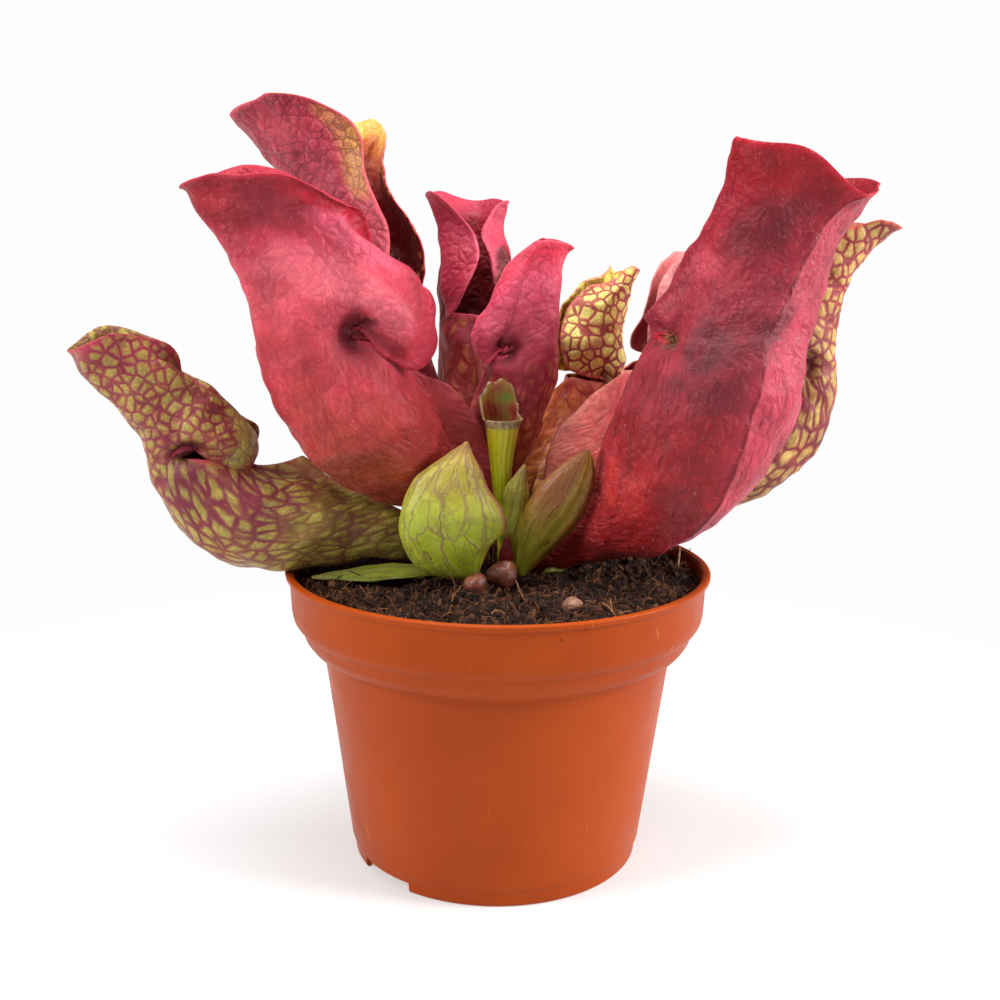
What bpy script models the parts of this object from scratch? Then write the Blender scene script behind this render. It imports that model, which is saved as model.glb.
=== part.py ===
"""Potted purple pitcher plant: hollow pitcher leaves, buds and a rhizome in peat, in a plastic nursery pot.

Every pitcher leaf is drawn in its own upright plane, in millimetres. r runs outwards from the crown and z up.
The leaf is then turned to its azimuth. Its outlines are short lists of points, joined by smooth curves.
"""
import math

import bmesh
import bpy
import numpy as np

MM = 0.001
GAP = 0.3  # clearance between neighbouring pieces

# Pot: a thermoformed nursery pot, 120 mm across its lip.
POT_LIP_RADIUS = 60.0
POT_HEIGHT = 83.4
POT_WALL = 1.3
POT_SEGMENTS = 48
FLOOR_HEIGHT = 4.6
FLOOR_THICKNESS = 1.5
NOTCH_AZIMUTHS = (222.0, 42.0)
NOTCH_WIDTH = 19.0
NOTCH_HEIGHT = 3.6
DRAIN_COUNT = 6
DRAIN_RADIUS = 3.2
DRAIN_CIRCLE = 27.0

# Peat and rhizome
SOIL_LEVEL = 80.0
SOIL_CROWN = 1.2

# Pitcher leaves
WALL = 1.1
WING_TIP_HALF = 0.35
WING_ROOT_HALF = 0.8
TUBE_ROWS = 8
HOOD_ROWS = 8
FLANGE_COLUMNS = 3
CREASE_ANGLE = math.radians(106)
NECK_COLUMNS = 9
LIP_COLUMNS = 3
CORNER_ROUNDING = 0.55  # share of the hood's side flap that is cut back at its top corner


def smooth(points, at):
    """The smooth curve through evenly timed points (Catmull-Rom), read at values from 0 to 1."""
    points = np.atleast_2d(np.array(points, float))
    if points.shape[0] == 1:
        points = points.T
    last = len(points) - 1
    padded = np.vstack([2 * points[0] - points[1], points, 2 * points[-1] - points[-2]])
    place = np.clip(np.asarray(at, float), 0, 1) * last
    start = np.minimum(place.astype(int), last - 1)
    u = (place - start)[:, None]
    a, b, c, d = (padded[start + k] for k in range(4))
    return 0.5 * (2 * b + (c - a) * u + (2 * a - 5 * b + 4 * c - d) * u**2 + (3 * b - a - 3 * c + d) * u**3)


def material(name, colour, roughness):
    made = bpy.data.materials.get(name) or bpy.data.materials.new(name)
    made.use_nodes = True
    shader = made.node_tree.nodes["Principled BSDF"]
    shader.inputs["Base Color"].default_value = (*colour, 1)
    shader.inputs["Roughness"].default_value = roughness
    return made


def add_object(name, vertices, faces, finish):
    """A named object whose vertices are given in millimetres."""
    mesh = bpy.data.meshes.new(name)
    mesh.from_pydata((np.asarray(vertices) * MM).tolist(), [], [list(f) for f in faces])
    work = bmesh.new()
    work.from_mesh(mesh)
    bmesh.ops.remove_doubles(work, verts=work.verts, dist=1e-6)
    bmesh.ops.dissolve_degenerate(work, edges=work.edges, dist=1e-6)
    bmesh.ops.recalc_face_normals(work, faces=work.faces)
    work.to_mesh(mesh)
    work.free()
    mesh.materials.append(finish)
    mesh.shade_smooth()
    mesh.set_sharp_from_angle(angle=math.radians(40))
    made = bpy.data.objects.new(name, mesh)
    bpy.context.scene.collection.objects.link(made)
    return made


# ---------------------------------------------------------------- pitcher leaf

def ring_angles():
    """Angles round the tube, from the front over one side, the back and the other side. 0 is the back."""
    neck = np.linspace(-CREASE_ANGLE, CREASE_ANGLE, NECK_COLUMNS)
    lip = np.linspace(CREASE_ANGLE, math.radians(163), LIP_COLUMNS + 1)[1:]
    return np.concatenate([[-math.pi], -lip[::-1], neck, lip, [math.pi]])


def neck_columns():
    """Places in a ring of the columns that go on up into the hood."""
    return np.arange(NECK_COLUMNS) + LIP_COLUMNS + 1


def twisted(points, middle, degrees):
    """Turns a row of points about the upright line through the middle of the leaf."""
    c, s = math.cos(math.radians(degrees)), math.sin(math.radians(degrees))
    r, side, z = points.T
    return np.column_stack([middle + (r - middle) * c - side * s, (r - middle) * s + side * c, z])


def tube_grid(form, levels, wing):
    """Rows of closed rings: outer skin of the tube, with or without the thin wing along its front."""
    back = smooth(form["tube_back"], levels)
    front = smooth(form["tube_front"], levels)
    half_width = smooth(form["tube_half_width"], levels)[:, 0]
    wing_height = smooth(form["wing"], levels)[:, 0]
    angles = ring_angles()
    rows = []
    turn = smooth(form["tube_turn"], levels)[:, 0]
    for b, f, w, k, t in zip(back, front, half_width, wing_height, turn):
        middle, half = (b + f) / 2, (b - f) / 2
        plane = middle + np.cos(angles)[:, None] * half
        side = w * np.sin(angles)
        ahead = -half / np.linalg.norm(half)
        if wing:
            plane[[0, -1]] = f + ahead * max(k, 0.0)
            side[0], side[-1] = -WING_TIP_HALF, WING_TIP_HALF
            plane[[1, -2]] = f
            side[1], side[-2] = -WING_ROOT_HALF, WING_ROOT_HALF
        else:
            side[0], side[-1] = -WING_TIP_HALF, WING_TIP_HALF
        rows.append(twisted(np.column_stack([plane[:, 0], side, plane[:, 1]]), middle[0], t))
    return np.array(rows)


def hood_grid(form, levels, crease_side):
    """Rows across the hood, each from one free edge round the back to the other. Level 0 is the mouth."""
    back = smooth(form["hood_back"], levels)
    shoulder = smooth(form["shoulder"], levels)
    edge = smooth(form["hood_edge"], levels)
    half_width = smooth(form["hood_half_width"], levels)[:, 0]
    edge_side = smooth([crease_side, *form["edge_side"]], levels)[:, 0]
    bulge = smooth(form["ear_bulge"], levels)[:, 0]
    hood_turn = smooth(form["hood_turn"], levels)[:, 0]
    middle = (back[:, 0] + shoulder[:, 0]) / 2
    mouth_middle = (form["tube_back"][-1][0] + form["tube_front"][-1][0]) / 2
    middle += (mouth_middle - middle[0]) * np.clip(1 - np.asarray(levels) / 0.4, 0, 1) ** 2
    top = np.clip((np.asarray(levels) - 0.72) / 0.28, 0, 1)
    cut_back = CORNER_ROUNDING * (1 - np.sqrt(1 - top**2))
    share = ring_angles()[neck_columns()] / CREASE_ANGLE
    opening = CREASE_ANGLE + (math.radians(92) - CREASE_ANGLE) * np.asarray(levels)
    rows = []
    for k in range(len(levels)):
        turn = share * opening[k]
        along = (1 - np.cos(turn)) / (1 - math.cos(opening[k]))
        plane = back[k] + along[:, None] * (shoulder[k] - back[k])
        side = half_width[k] * np.sin(turn)
        neck = np.column_stack([plane[:, 0], side, plane[:, 1]])
        s = (1 - cut_back[k]) * np.arange(1, FLANGE_COLUMNS + 1) / FLANGE_COLUMNS
        span = np.linalg.norm(edge[k] - shoulder[k])
        ahead = (shoulder[k] - back[k]) / np.linalg.norm(shoulder[k] - back[k])
        pull = shoulder[k] + ahead * 0.45 * span
        curve = [(1 - s) ** 2, 2 * s * (1 - s), s**2]
        flange = sum(np.outer(share_of, end) for share_of, end in zip(curve, (shoulder[k], pull, edge[k])))
        start = half_width[k] * math.sin(opening[k])
        out = (1 - s) ** 2 * start + 2 * s * (1 - s) * (start + bulge[k]) + s**2 * edge_side[k]
        right = np.column_stack([flange[:, 0], out, flange[:, 1]])
        left = (right * [1, -1, 1])[::-1]
        rows.append(twisted(np.vstack([left, neck, right]), middle[k], hood_turn[k]))
    return np.array(rows)


def sheet_of(form, first_level, wing):
    """Vertices and faces of one skin, open at the mouth and closed below, with its faces pointing out."""
    tube = tube_grid(form, np.linspace(first_level, 1, TUBE_ROWS), wing)
    mouth = tube[-1]
    neck = neck_columns()
    hood_levels = np.linspace(0, 1, HOOD_ROWS + 1) ** 1.15
    hood = hood_grid(form, hood_levels, abs(mouth[neck[-1]][1]))[1:]
    columns, across = tube.shape[1], hood.shape[1]
    vertices = [*tube.reshape(-1, 3), *hood.reshape(-1, 3)]
    faces = []
    for i in range(TUBE_ROWS - 1):
        for j in range(columns):
            k = (j + 1) % columns
            faces.append([i * columns + j, i * columns + k, (i + 1) * columns + k, (i + 1) * columns + j])
    faces.append(list(range(columns))[::-1])
    last_ring = (TUBE_ROWS - 1) * columns
    below = [last_ring + n for n in neck]
    below = [below[0]] * FLANGE_COLUMNS + below + [below[-1]] * FLANGE_COLUMNS
    for i in range(HOOD_ROWS):
        start = TUBE_ROWS * columns + i * across
        row = list(range(start, start + across))
        for j in range(across - 1):
            corners = [below[j], below[j + 1], row[j + 1], row[j]]
            faces.append([c for n, c in enumerate(corners) if c not in corners[:n]])
        below = row
    return np.array(vertices), faces


def corner_normals(vertices, faces):
    """Area-weighted normals of the vertices."""
    normals = np.zeros_like(vertices)
    for face in faces:
        corners = vertices[face]
        arms = corners[1:] - corners[0]
        normals[face] += np.cross(arms[:-1], arms[1:]).sum(axis=0)
    return normals / np.maximum(np.linalg.norm(normals, axis=1, keepdims=True), 1e-9)


def free_edges(faces):
    """Directed edges that only one face has."""
    edges = {(a, b) for face in faces for a, b in zip(face, face[1:] + face[:1])}
    return [(a, b) for a, b in edges if (b, a) not in edges]


def shell_of(form):
    """A hollow pitcher: the outer skin with its wing, the inner skin, and the lip between them."""
    outer, outer_faces = sheet_of(form, 0.0, wing=True)
    plain, plain_faces = sheet_of(form, 0.0, wing=False)
    inner = plain - WALL * corner_normals(plain, plain_faces)
    count, columns = len(outer), len(ring_angles())
    solid_rows = 2
    kept = [f for f in plain_faces if min(f) >= solid_rows * columns]
    kept.append(list(range(solid_rows * columns, (solid_rows + 1) * columns))[::-1])
    inside = [[count + v for v in face[::-1]] for face in kept]
    bridge = [[b, a, count + a, count + b] for a, b in free_edges(outer_faces)]
    return np.vstack([outer, inner]), outer_faces + inside + bridge


def place(vertices, leaf, pushes):
    """Turns a leaf drawn in its own plane to where it grows."""
    r, side, z = np.array(vertices).T
    z = z + leaf.get("tilt", 0.0) * side * np.clip((z - 90) / 60, 0, 1)
    turn = math.radians(leaf["azimuth"])
    x = r * math.cos(turn) - side * math.sin(turn) + leaf["base"][0]
    y = r * math.sin(turn) + side * math.cos(turn) + leaf["base"][1]
    for (at_x, at_z), reach, (shift_x, shift_z) in pushes:
        near = np.exp(-((x - at_x) ** 2 + (z - at_z) ** 2) / (1.4 * reach) ** 2)
        x, z = x + near * shift_x, z + near * shift_z
    return np.column_stack([x, y, z])


FORMS = {
    "left_large": dict(
        tube_back=[(6, 81.8), (17, 97), (33.5, 103.5), (49.5, 112), (59, 125), (64.5, 142), (66.5, 156)],
        tube_front=[(3, 85.5), (5, 96), (10.5, 109), (16, 121), (21.5, 131), (25, 136.5), (27.5, 140)],
        tube_half_width=[2.2, 5, 10, 15, 18, 17, 15.5],
        tube_turn=[0, 0, 0, 0, 0, 0, 0],
        wing=[0, 5, 9, 10, 9, 8, 3],
        hood_back=[(66.5, 156), (68.5, 162), (72, 170.5), (77.5, 178), (82.5, 183)],
        shoulder=[(39.5, 149), (42.5, 159.5), (47.5, 170), (53.5, 181), (62.5, 189.5)],
        hood_edge=[(39.5, 149), (34, 143), (28, 139.5), (21, 143), (18.5, 150), (20, 158.5), (31, 168),
                   (34.5, 179.5), (42, 185.5)],
        hood_half_width=[15.5, 15, 13, 14, 17],
        edge_side=[13, 11, 8, 5, 3, 4, 9, 16],
        ear_bulge=[0, 5, 4, 3, 1],
        hood_turn=[0, 0],
    ),
    "left_low": dict(
        tube_back=[(8, 81.8), (28, 86.2), (47, 85), (65, 85.2), (80, 91.5), (89.5, 104), (93.5, 117)],
        tube_front=[(7.5, 85), (22, 96), (35, 102.5), (47, 107), (57, 110), (64, 111.5), (69.5, 111)],
        tube_half_width=[2, 4, 7.5, 11, 13.5, 13.5, 12],
        tube_turn=[0, 0, 0, 0, 0, 0, 0],
        wing=[0, 1, 1.5, 2.5, 7, 9, 3],
        hood_back=[(93.5, 117), (95, 121), (102.5, 130.5), (110, 137.5), (113, 143.5)],
        shoulder=[(81.5, 118), (84.5, 124), (90.5, 133), (99, 141), (106.5, 147)],
        hood_edge=[(81.5, 118), (78.5, 114), (72.5, 111), (67.5, 113), (66, 119.5), (71.5, 125.5),
                   (84, 134.5), (87, 143), (97, 149)],
        hood_half_width=[12, 11, 10, 11, 13],
        edge_side=[10, 8, 6, 4, 3, 4, 8, 12],
        ear_bulge=[0, 4, 3, 2, 1],
        hood_turn=[0, 11, 14],
    ),
    "centre": dict(
        tube_back=[(1.4, 81.7), (3.3, 100), (6.5, 113), (12.4, 124), (16, 134), (17, 142.5), (16.7, 150)],
        tube_front=[(-0.8, 82), (-0.5, 100), (-2, 113), (-5, 123), (-4.5, 130), (-2, 136.5), (1, 141.5)],
        tube_half_width=[1.5, 3, 5, 8, 9.5, 9.5, 9],
        tube_turn=[0, -5, -10, -15, -20, -20, -20],
        wing=[0, 1, 2.5, 3, 2.5, 2, 1],
        hood_back=[(16.7, 150), (16.3, 155), (16.7, 162.5), (18, 167), (20, 170)],
        shoulder=[(4, 144), (5.5, 149.5), (6.7, 156.5), (8, 163), (12, 170.5)],
        hood_edge=[(4, 144), (2.2, 142), (-1.5, 140.5), (-5, 142.5), (-6.8, 146.5), (-4.5, 153),
                   (1, 160.5), (3, 166.5), (10.5, 172)],
        hood_half_width=[9, 8.5, 8, 8, 9],
        edge_side=[8, 7, 5, 3, 2, 3, 5, 8],
        ear_bulge=[0, 3, 2, 1, 0],
        hood_turn=[-20, -15],
    ),
    "right_small": dict(
        tube_back=[(6.5, 81.7), (21.5, 93), (37.5, 103), (49, 112.5), (55, 120.5), (57, 127), (57, 132)],
        tube_front=[(3.5, 83.5), (14.5, 97), (24.5, 108), (33, 116), (37.5, 121.5), (40, 125.5),
                    (42, 128)],
        tube_half_width=[1.5, 3, 5.5, 7, 8, 8, 7.5],
        tube_turn=[0, -5, -10, -15, -20, -25, -25],
        wing=[0, 4, 9, 12, 12, 9, 2],
        hood_back=[(57, 132), (56.7, 140), (57.3, 148.5), (59, 156), (63, 163)],
        shoulder=[(48.5, 134), (48, 141.5), (49, 149.5), (52.5, 157.5), (60, 164)],
        hood_edge=[(48.5, 134), (44, 130.5), (38.8, 131.5), (36, 135.5), (34.8, 142.4), (36.7, 150),
                   (41.5, 156.3), (49.5, 161.8), (58, 164.6)],
        hood_half_width=[7.5, 7, 6.5, 6.5, 7],
        edge_side=[6.5, 5, 4, 3, 2, 2, 3.5, 5],
        ear_bulge=[0, 2.5, 2, 1, 0],
        hood_turn=[-25, -25],
    ),
    "right_back": dict(
        tube_back=[(3.5, 81.7), (38, 89), (66.5, 97.5), (82, 106), (90.5, 116), (94.5, 127.5), (95, 139)],
        tube_front=[(2, 87), (25.5, 99), (46, 111.5), (59.5, 121), (68, 128), (72, 134), (73.5, 138)],
        tube_half_width=[2, 4, 8, 11, 12, 11.5, 11],
        tube_turn=[0, 0, 0, 0, 0, 0, 0],
        wing=[0, 2, 4, 5, 5, 4, 1],
        hood_back=[(95, 139), (95, 148), (97.5, 159.5), (102.5, 168.5), (109.5, 177.5)],
        shoulder=[(83, 141), (83, 151), (85.5, 161), (91, 169), (102, 178)],
        hood_edge=[(83, 141), (78.5, 138.5), (73.5, 142), (71.5, 148), (74, 156.5), (78.5, 163.5),
                   (83, 170.5), (89, 176), (98, 178.5)],
        hood_half_width=[11, 10.5, 9.5, 10, 12],
        edge_side=[10, 8, 6, 4, 3, 4, 8, 11],
        ear_bulge=[0, 3, 3, 2, 1],
        hood_turn=[0, 0],
    ),
    "right_pale": dict(
        tube_back=[(2.5, 81.7), (24.5, 90.5), (44, 102.5), (57, 113.5), (64, 125), (67, 135.5),
                   (67.5, 145)],
        tube_front=[(0.5, 86), (11, 98), (18.5, 109), (25.5, 117.5), (30.5, 123.5), (34.5, 129.5),
                    (38, 135)],
        tube_half_width=[2, 4, 8, 11, 12.5, 12, 11],
        tube_turn=[0, 0, -4, -8, -12, -16, -20],
        wing=[0, 5, 9, 11, 10, 7, 1],
        hood_back=[(67.5, 145), (67.5, 151.5), (69, 158), (72.5, 164.5), (77, 170)],
        shoulder=[(52.5, 144), (51, 151), (52.5, 158), (56, 163.5), (63.5, 169.5)],
        hood_edge=[(52.5, 144), (46, 140.5), (42.5, 141.3), (41, 145.1), (42, 152.5), (44.8, 159.7),
                   (49, 165.5), (53.5, 168.3), (59, 170)],
        hood_half_width=[11, 10.5, 10, 10, 12],
        edge_side=[10, 8, 6, 4, 3, 4, 8, 11],
        ear_bulge=[0, 3, 3, 2, 1],
        hood_turn=[-20, -12],
    ),
    "right_large": dict(
        tube_back=[(9, 81.8), (30, 88.2), (48.5, 93.5), (64.5, 105), (74.3, 119.7), (79.5, 135),
                   (80, 148)],
        tube_front=[(7.3, 87.6), (17.3, 97.6), (24.3, 104), (26.5, 115), (29.2, 126), (33, 135.5),
                    (37, 143)],
        tube_half_width=[2, 7, 12.5, 19, 22, 22, 20],
        tube_turn=[0, -10, -25, -35, -40, -42, -42],
        wing=[0, 2, 3, 3, 2, 1, 0.5],
        hood_back=[(80, 148), (80.5, 159), (83, 170), (87, 180), (93, 188)],
        shoulder=[(52.5, 147), (54, 158), (61, 171), (69, 184), (76, 194)],
        hood_edge=[(52.5, 147), (44.3, 142), (39, 144.5), (37, 151.5), (41, 159), (52, 171), (60, 181),
                   (65, 189.5), (71, 195.5)],
        hood_half_width=[20, 19.5, 18.5, 19, 21],
        edge_side=[17, 14, 10, 6, 5, 7, 12, 17],
        ear_bulge=[0, 5, 4, 3, 1],
        hood_turn=[-42, -35, -25],
    ),
    "slender": dict(
        tube_back=[(6, 82), (20, 96), (34, 112), (43, 128), (47, 142), (48, 152)],
        tube_front=[(3, 85), (8, 98), (14, 114), (20, 130), (24, 142), (27, 150)],
        tube_half_width=[2, 4.5, 7.5, 9.5, 10, 9.5],
        tube_turn=[0, 0, 0, 0, 0, 0],
        wing=[0, 2, 3, 3, 2, 1],
        hood_back=[(48, 152), (49, 160), (51, 169), (55, 178), (60, 184)],
        shoulder=[(36, 151), (37, 158), (39, 167), (42, 176), (46, 183)],
        hood_edge=[(36, 151), (32, 149), (29, 150.5), (27, 155), (27.5, 161), (29, 167), (32, 174),
                   (35, 181), (38, 186)],
        hood_half_width=[9.5, 10, 8.8, 9, 11],
        edge_side=[8, 6.5, 4.5, 2, 0.7, 1.2, 5, 10],
        ear_bulge=[0, 3, 3, 2, 1],
        hood_turn=[0, 0],
    ),
    "left_back": dict(
        tube_back=[(7, 82), (24, 100), (42, 118), (53, 136), (58, 152), (60, 166)],
        tube_front=[(4, 86), (10, 102), (17, 120), (24, 138), (29, 152), (32, 160)],
        tube_half_width=[2.2, 7, 12, 15, 16, 15.5],
        tube_turn=[0, 0, 0, 0, 0, 0],
        wing=[0, 3, 4, 4, 3, 1],
        hood_back=[(60, 166), (63, 177), (67, 188), (73, 198), (80, 204)],
        shoulder=[(43, 164), (45, 174), (49, 186), (55, 198), (63, 208)],
        hood_edge=[(43, 164), (37, 159), (31, 161), (28, 168), (29, 177), (33, 187), (39, 196), (46, 204),
                   (54, 210)],
        hood_half_width=[15.5, 15, 14, 17, 22],
        edge_side=[13, 11, 8, 6, 5, 8, 15, 23],
        ear_bulge=[0, 5, 5, 4, 2],
        hood_turn=[0, 0],
    ),
}

SKINS = {
    "skin_pink": (0.50, 0.10, 0.13),
    "skin_rose": (0.40, 0.05, 0.10),
    "skin_crimson": (0.30, 0.03, 0.06),
    "skin_pale": (0.65, 0.19, 0.17),
    "skin_veined_green": (0.30, 0.23, 0.06),
    "skin_veined_red": (0.33, 0.07, 0.06),
}

# base is where the leaf's plane stands on the crown; tilt raises one side of a leaf and lowers the other.
LEAVES = {
    "pitcher_left_large": dict(form="left_large", azimuth=199, base=(0, 0), skin="skin_pink"),
    "pitcher_left_low": dict(form="left_low", azimuth=184, base=(0, -6), skin="skin_veined_green"),
    "pitcher_left_back": dict(
        form="left_back", azimuth=150, base=(-1.5, 3), tilt=0.12, skin="skin_veined_red"
    ),
    "pitcher_back": dict(form="slender", azimuth=101.5, base=(-2, 9), tilt=0.06, skin="skin_rose"),
    "pitcher_centre": dict(form="centre", azimuth=8, base=(-0.5, 6), skin="skin_rose"),
    "pitcher_right_small": dict(form="right_small", azimuth=50, base=(0, 11), skin="skin_veined_green"),
    "pitcher_right_pale": dict(form="right_pale", azimuth=31, base=(6, 5), skin="skin_pale"),
    "pitcher_right_back": dict(form="right_back", azimuth=12.5, base=(4, 0.4), skin="skin_veined_green"),
    "pitcher_right_large": dict(
        form="right_large", azimuth=-20, base=(2, -1), tilt=-0.09, skin="skin_crimson"
    ),
}

# Small pushes of the finished outline, in mm as seen from the front: place (x, z), reach and shift (x, z).
PUSHES = {
    "pitcher_left_large": [((-75, 185), 7, (0.1, 2.7)), ((-67, 187), 6, (0, 1.2)),
                           ((-46, 189), 7, (0.4, -3.2)), ((-38, 186), 6, (-2.1, -3)),
                           ((-28, 174), 8, (-4.3, -1)), ((-16, 152), 7, (-1.5, 0)),
                           ((-64, 152), 10, (-1.3, 0)), ((-34, 147), 5, (-1.6, 4)),
                           ((-72, 178), 7, (-2.0, -0.6))],
    "pitcher_left_back": [((-64, 214), 6, (-0.1, 0.2)), ((-69, 197), 7, (-5.2, -0.3)),
                          ((-36, 205), 6, (0, -1.2)), ((-29, 187), 9, (-5.2, 0)),
                          ((-22, 168), 6, (-1.2, 0.8)), ((-76, 207), 4, (-0.2, -0.4)),
                          ((-52, 208), 9, (0.4, 1.8))],
    "pitcher_right_large": [((60, 195), 6, (-3.9, 1.2)), ((70, 194), 6, (0, 3.1)),
                            ((86, 191), 6, (0.2, -3.8)), ((95, 188), 3, (-1.2, 0.5)),
                            ((42, 168), 8, (3.1, -1)), ((37, 159), 6, (2.5, 0)),
                            ((52.5, 184), 5, (1.6, 0)), ((36.5, 143), 6, (2.0, 6.0))],
    "pitcher_right_back": [((99, 148), 13, (-1.7, 0)), ((104, 176), 5, (-0.8, 1.0))],
    "pitcher_right_pale": [((39, 155), 10, (3.8, -1.2))],
    "pitcher_right_small": [((31.7, 161), 3.5, (1.5, -1.8)), ((38, 155), 5, (0.9, 0)),
                            ((24, 128), 6, (-3, 2.5)), ((16, 115), 7, (-2.5, 0)),
                            ((12, 105), 6, (-1.5, 0))],
    "pitcher_left_low": [((-78, 111), 6, (-2.5, 5.7)), ((-92, 134), 6, (-1.1, -1.6)),
                         ((-83, 113), 9, (-1.4, -0.4)), ((-76, 99), 10, (-1.2, -1.4)),
                         ((-66, 90), 9, (-0.6, -1.0)), ((-87, 140), 5, (1.6, 1.4))],
    "pitcher_centre": [((3, 142), 5, (-3.2, -1.8)), ((13, 171), 5, (0.5, 2.4)), ((14, 156), 6, (0.7, 0))],
    "pitcher_back": [((-19.5, 184), 4, (-1.2, 2.4)), ((-3, 181), 5, (1.5, 1.6)),
                     ((-3, 164), 7, (3.0, 3))],
}


def build_pitchers():
    for name, leaf in LEAVES.items():
        vertices, faces = shell_of(FORMS[leaf["form"]])
        finish = material(leaf["skin"], SKINS[leaf["skin"]], 0.45)
        add_object(name, place(vertices, leaf, PUSHES.get(name, ())), faces, finish)


# ---------------------------------------------------------------- pot and peat

# The wall's outside from the foot up to the lip, then the inside from the lip down to the floor.
POT_OUTSIDE = [(40, 0), (40.6, 0.6), (40.9, 4.4), (41.6, 5.0), (49, 60.6), (49.8, 61.2), (52.6, 62.6),
               (54.2, 64.8), (54.9, 67), (55.2, 68.1), (56.3, 68.8), (57.2, 70.3), (57.6, 72.5),
               (58, 81.4), (59.1, 81.8), (59.3, 83.2), (58.5, 83.6)]


def revolve(name, profile, finish, segments=POT_SEGMENTS):
    """A turned solid. Points of the profile that lie on the axis become single vertices."""
    vertices, rows, faces = [], [], []
    for r, z in profile:
        if r < 1e-6:
            rows.append([len(vertices)] * segments)
            vertices.append((0, 0, z))
        else:
            rows.append(list(range(len(vertices), len(vertices) + segments)))
            turns = [2 * math.pi * k / segments for k in range(segments)]
            vertices += [(r * math.cos(t), r * math.sin(t), z) for t in turns]
    for low, high in zip(rows, rows[1:] + rows[:1]):
        if low[0] == low[1] and high[0] == high[1]:
            continue
        for k in range(segments):
            n = (k + 1) % segments
            corners = [low[k], low[n], high[n], high[k]]
            faces.append([c for i, c in enumerate(corners) if c not in corners[:i]])
    return add_object(name, vertices, faces, finish)


def build_pot():
    finish = material("pot_plastic", (0.45, 0.12, 0.05), 0.4)
    inside = [(56.9, 82.6), (56.7, 80), (56.2, 72.6), (55.8, 71), (54, 69), (53.5, 66.5), (52.9, 65.4),
              (51.3, 63.8), (48, 62.2), (47.6, 60.4), (40.2, FLOOR_HEIGHT)]
    underside = FLOOR_HEIGHT - FLOOR_THICKNESS
    under = [(0, FLOOR_HEIGHT), (0, underside), (39.2, underside), (38.9, 0)]
    pot = revolve("pot", POT_OUTSIDE + inside + under, finish)
    cutters = [notch_cutter(f"foot_notch_cutter_{n}", azimuth) for n,
               azimuth in enumerate(NOTCH_AZIMUTHS)]
    cutters += [drain_cutter(n) for n in range(DRAIN_COUNT)]
    for cutter in cutters:
        cutter.hide_render = True
        cutter.display_type = "WIRE"
        cut = pot.modifiers.new(cutter.name, "BOOLEAN")
        cut.operation = "DIFFERENCE"
        cut.solver = "EXACT"
        cut.object = cutter
    return pot


def block(name, corners, bottom, top, finish):
    """An upright prism on a plan outline."""
    n = len(corners)
    vertices = [(x, y, bottom) for x, y in corners] + [(x, y, top) for x, y in corners]
    faces = [list(range(n)), list(range(n, 2 * n))]
    faces += [[k, (k + 1) % n, n + (k + 1) % n, n + k] for k in range(n)]
    return add_object(name, vertices, faces, finish)


def notch_cutter(name, azimuth):
    """The gap in the foot ring that lets water out."""
    turn = math.radians(azimuth)
    outward, across = (math.cos(turn), math.sin(turn)), (-math.sin(turn), math.cos(turn))
    corners = []
    for r, side in ((34, -1), (46, -1), (46, 1), (34, 1)):
        half = side * NOTCH_WIDTH / 2
        corners.append((r * outward[0] + half * across[0], r * outward[1] + half * across[1]))
    return block(name, corners, -1, FLOOR_HEIGHT - FLOOR_THICKNESS - 0.1, material("cutter", (1, 1, 1), 1))


def drain_cutter(n):
    centre = 2 * math.pi * (n + 0.53) / DRAIN_COUNT
    cx, cy = DRAIN_CIRCLE * math.cos(centre), DRAIN_CIRCLE * math.sin(centre)
    turns = [2 * math.pi * (k + 0.3) / 12 for k in range(12)]
    corners = [(cx + DRAIN_RADIUS * math.cos(t), cy + DRAIN_RADIUS * math.sin(t)) for t in turns]
    return block(f"drain_cutter_{n}", corners, -1, FLOOR_HEIGHT + 2, material("cutter", (1, 1, 1), 1))


def build_soil():
    finish = material("peat", (0.03, 0.018, 0.01), 0.95)
    edge = 56.3
    top = [(edge * (1 - t), SOIL_LEVEL + SOIL_CROWN * (1 - (1 - t) ** 2)) for t in (0, 0.2, 0.45, 0.7, 1)]
    bottom = [(0, FLOOR_HEIGHT + GAP), (39.8, FLOOR_HEIGHT + GAP), (47.2, 60.5), (47.6, 62.5)]
    bottom += [(50.9, 64.2), (52.5, 65.7), (53.1, 66.8), (53.6, 69.3), (55.4, 71.2), (55.8, 72.8)]
    revolve("peat", bottom + top, finish)


# ---------------------------------------------------------------- buds, stub and litter

def loft(name, path, across, through, finish, facing=(0, -1, 0), segments=10):
    """A closed body along a path, with oval sections that are widest square to the facing direction."""
    path = np.array(path, float)
    ahead = np.gradient(path, axis=0)
    ahead /= np.linalg.norm(ahead, axis=1, keepdims=True)
    front = np.array(facing, float)
    turns = np.arange(segments) * 2 * math.pi / segments
    vertices = []
    for point, way, wide, thick in zip(path, ahead, across, through):
        sideways = np.cross(way, front)
        sideways /= np.linalg.norm(sideways)
        normal = np.cross(sideways, way)
        ring = point + np.outer(np.cos(turns) * wide, sideways) + np.outer(np.sin(turns) * thick, normal)
        vertices += ring.tolist()
    rows = len(path)
    faces = [list(range(segments)), list(range((rows - 1) * segments, rows * segments))]
    for i in range(rows - 1):
        for k in range(segments):
            n = (k + 1) % segments
            faces.append([i * segments + k, i * segments + n, (i + 1) * segments + n, (i + 1) * segments + k])
    return add_object(name, vertices, faces, finish)


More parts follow.
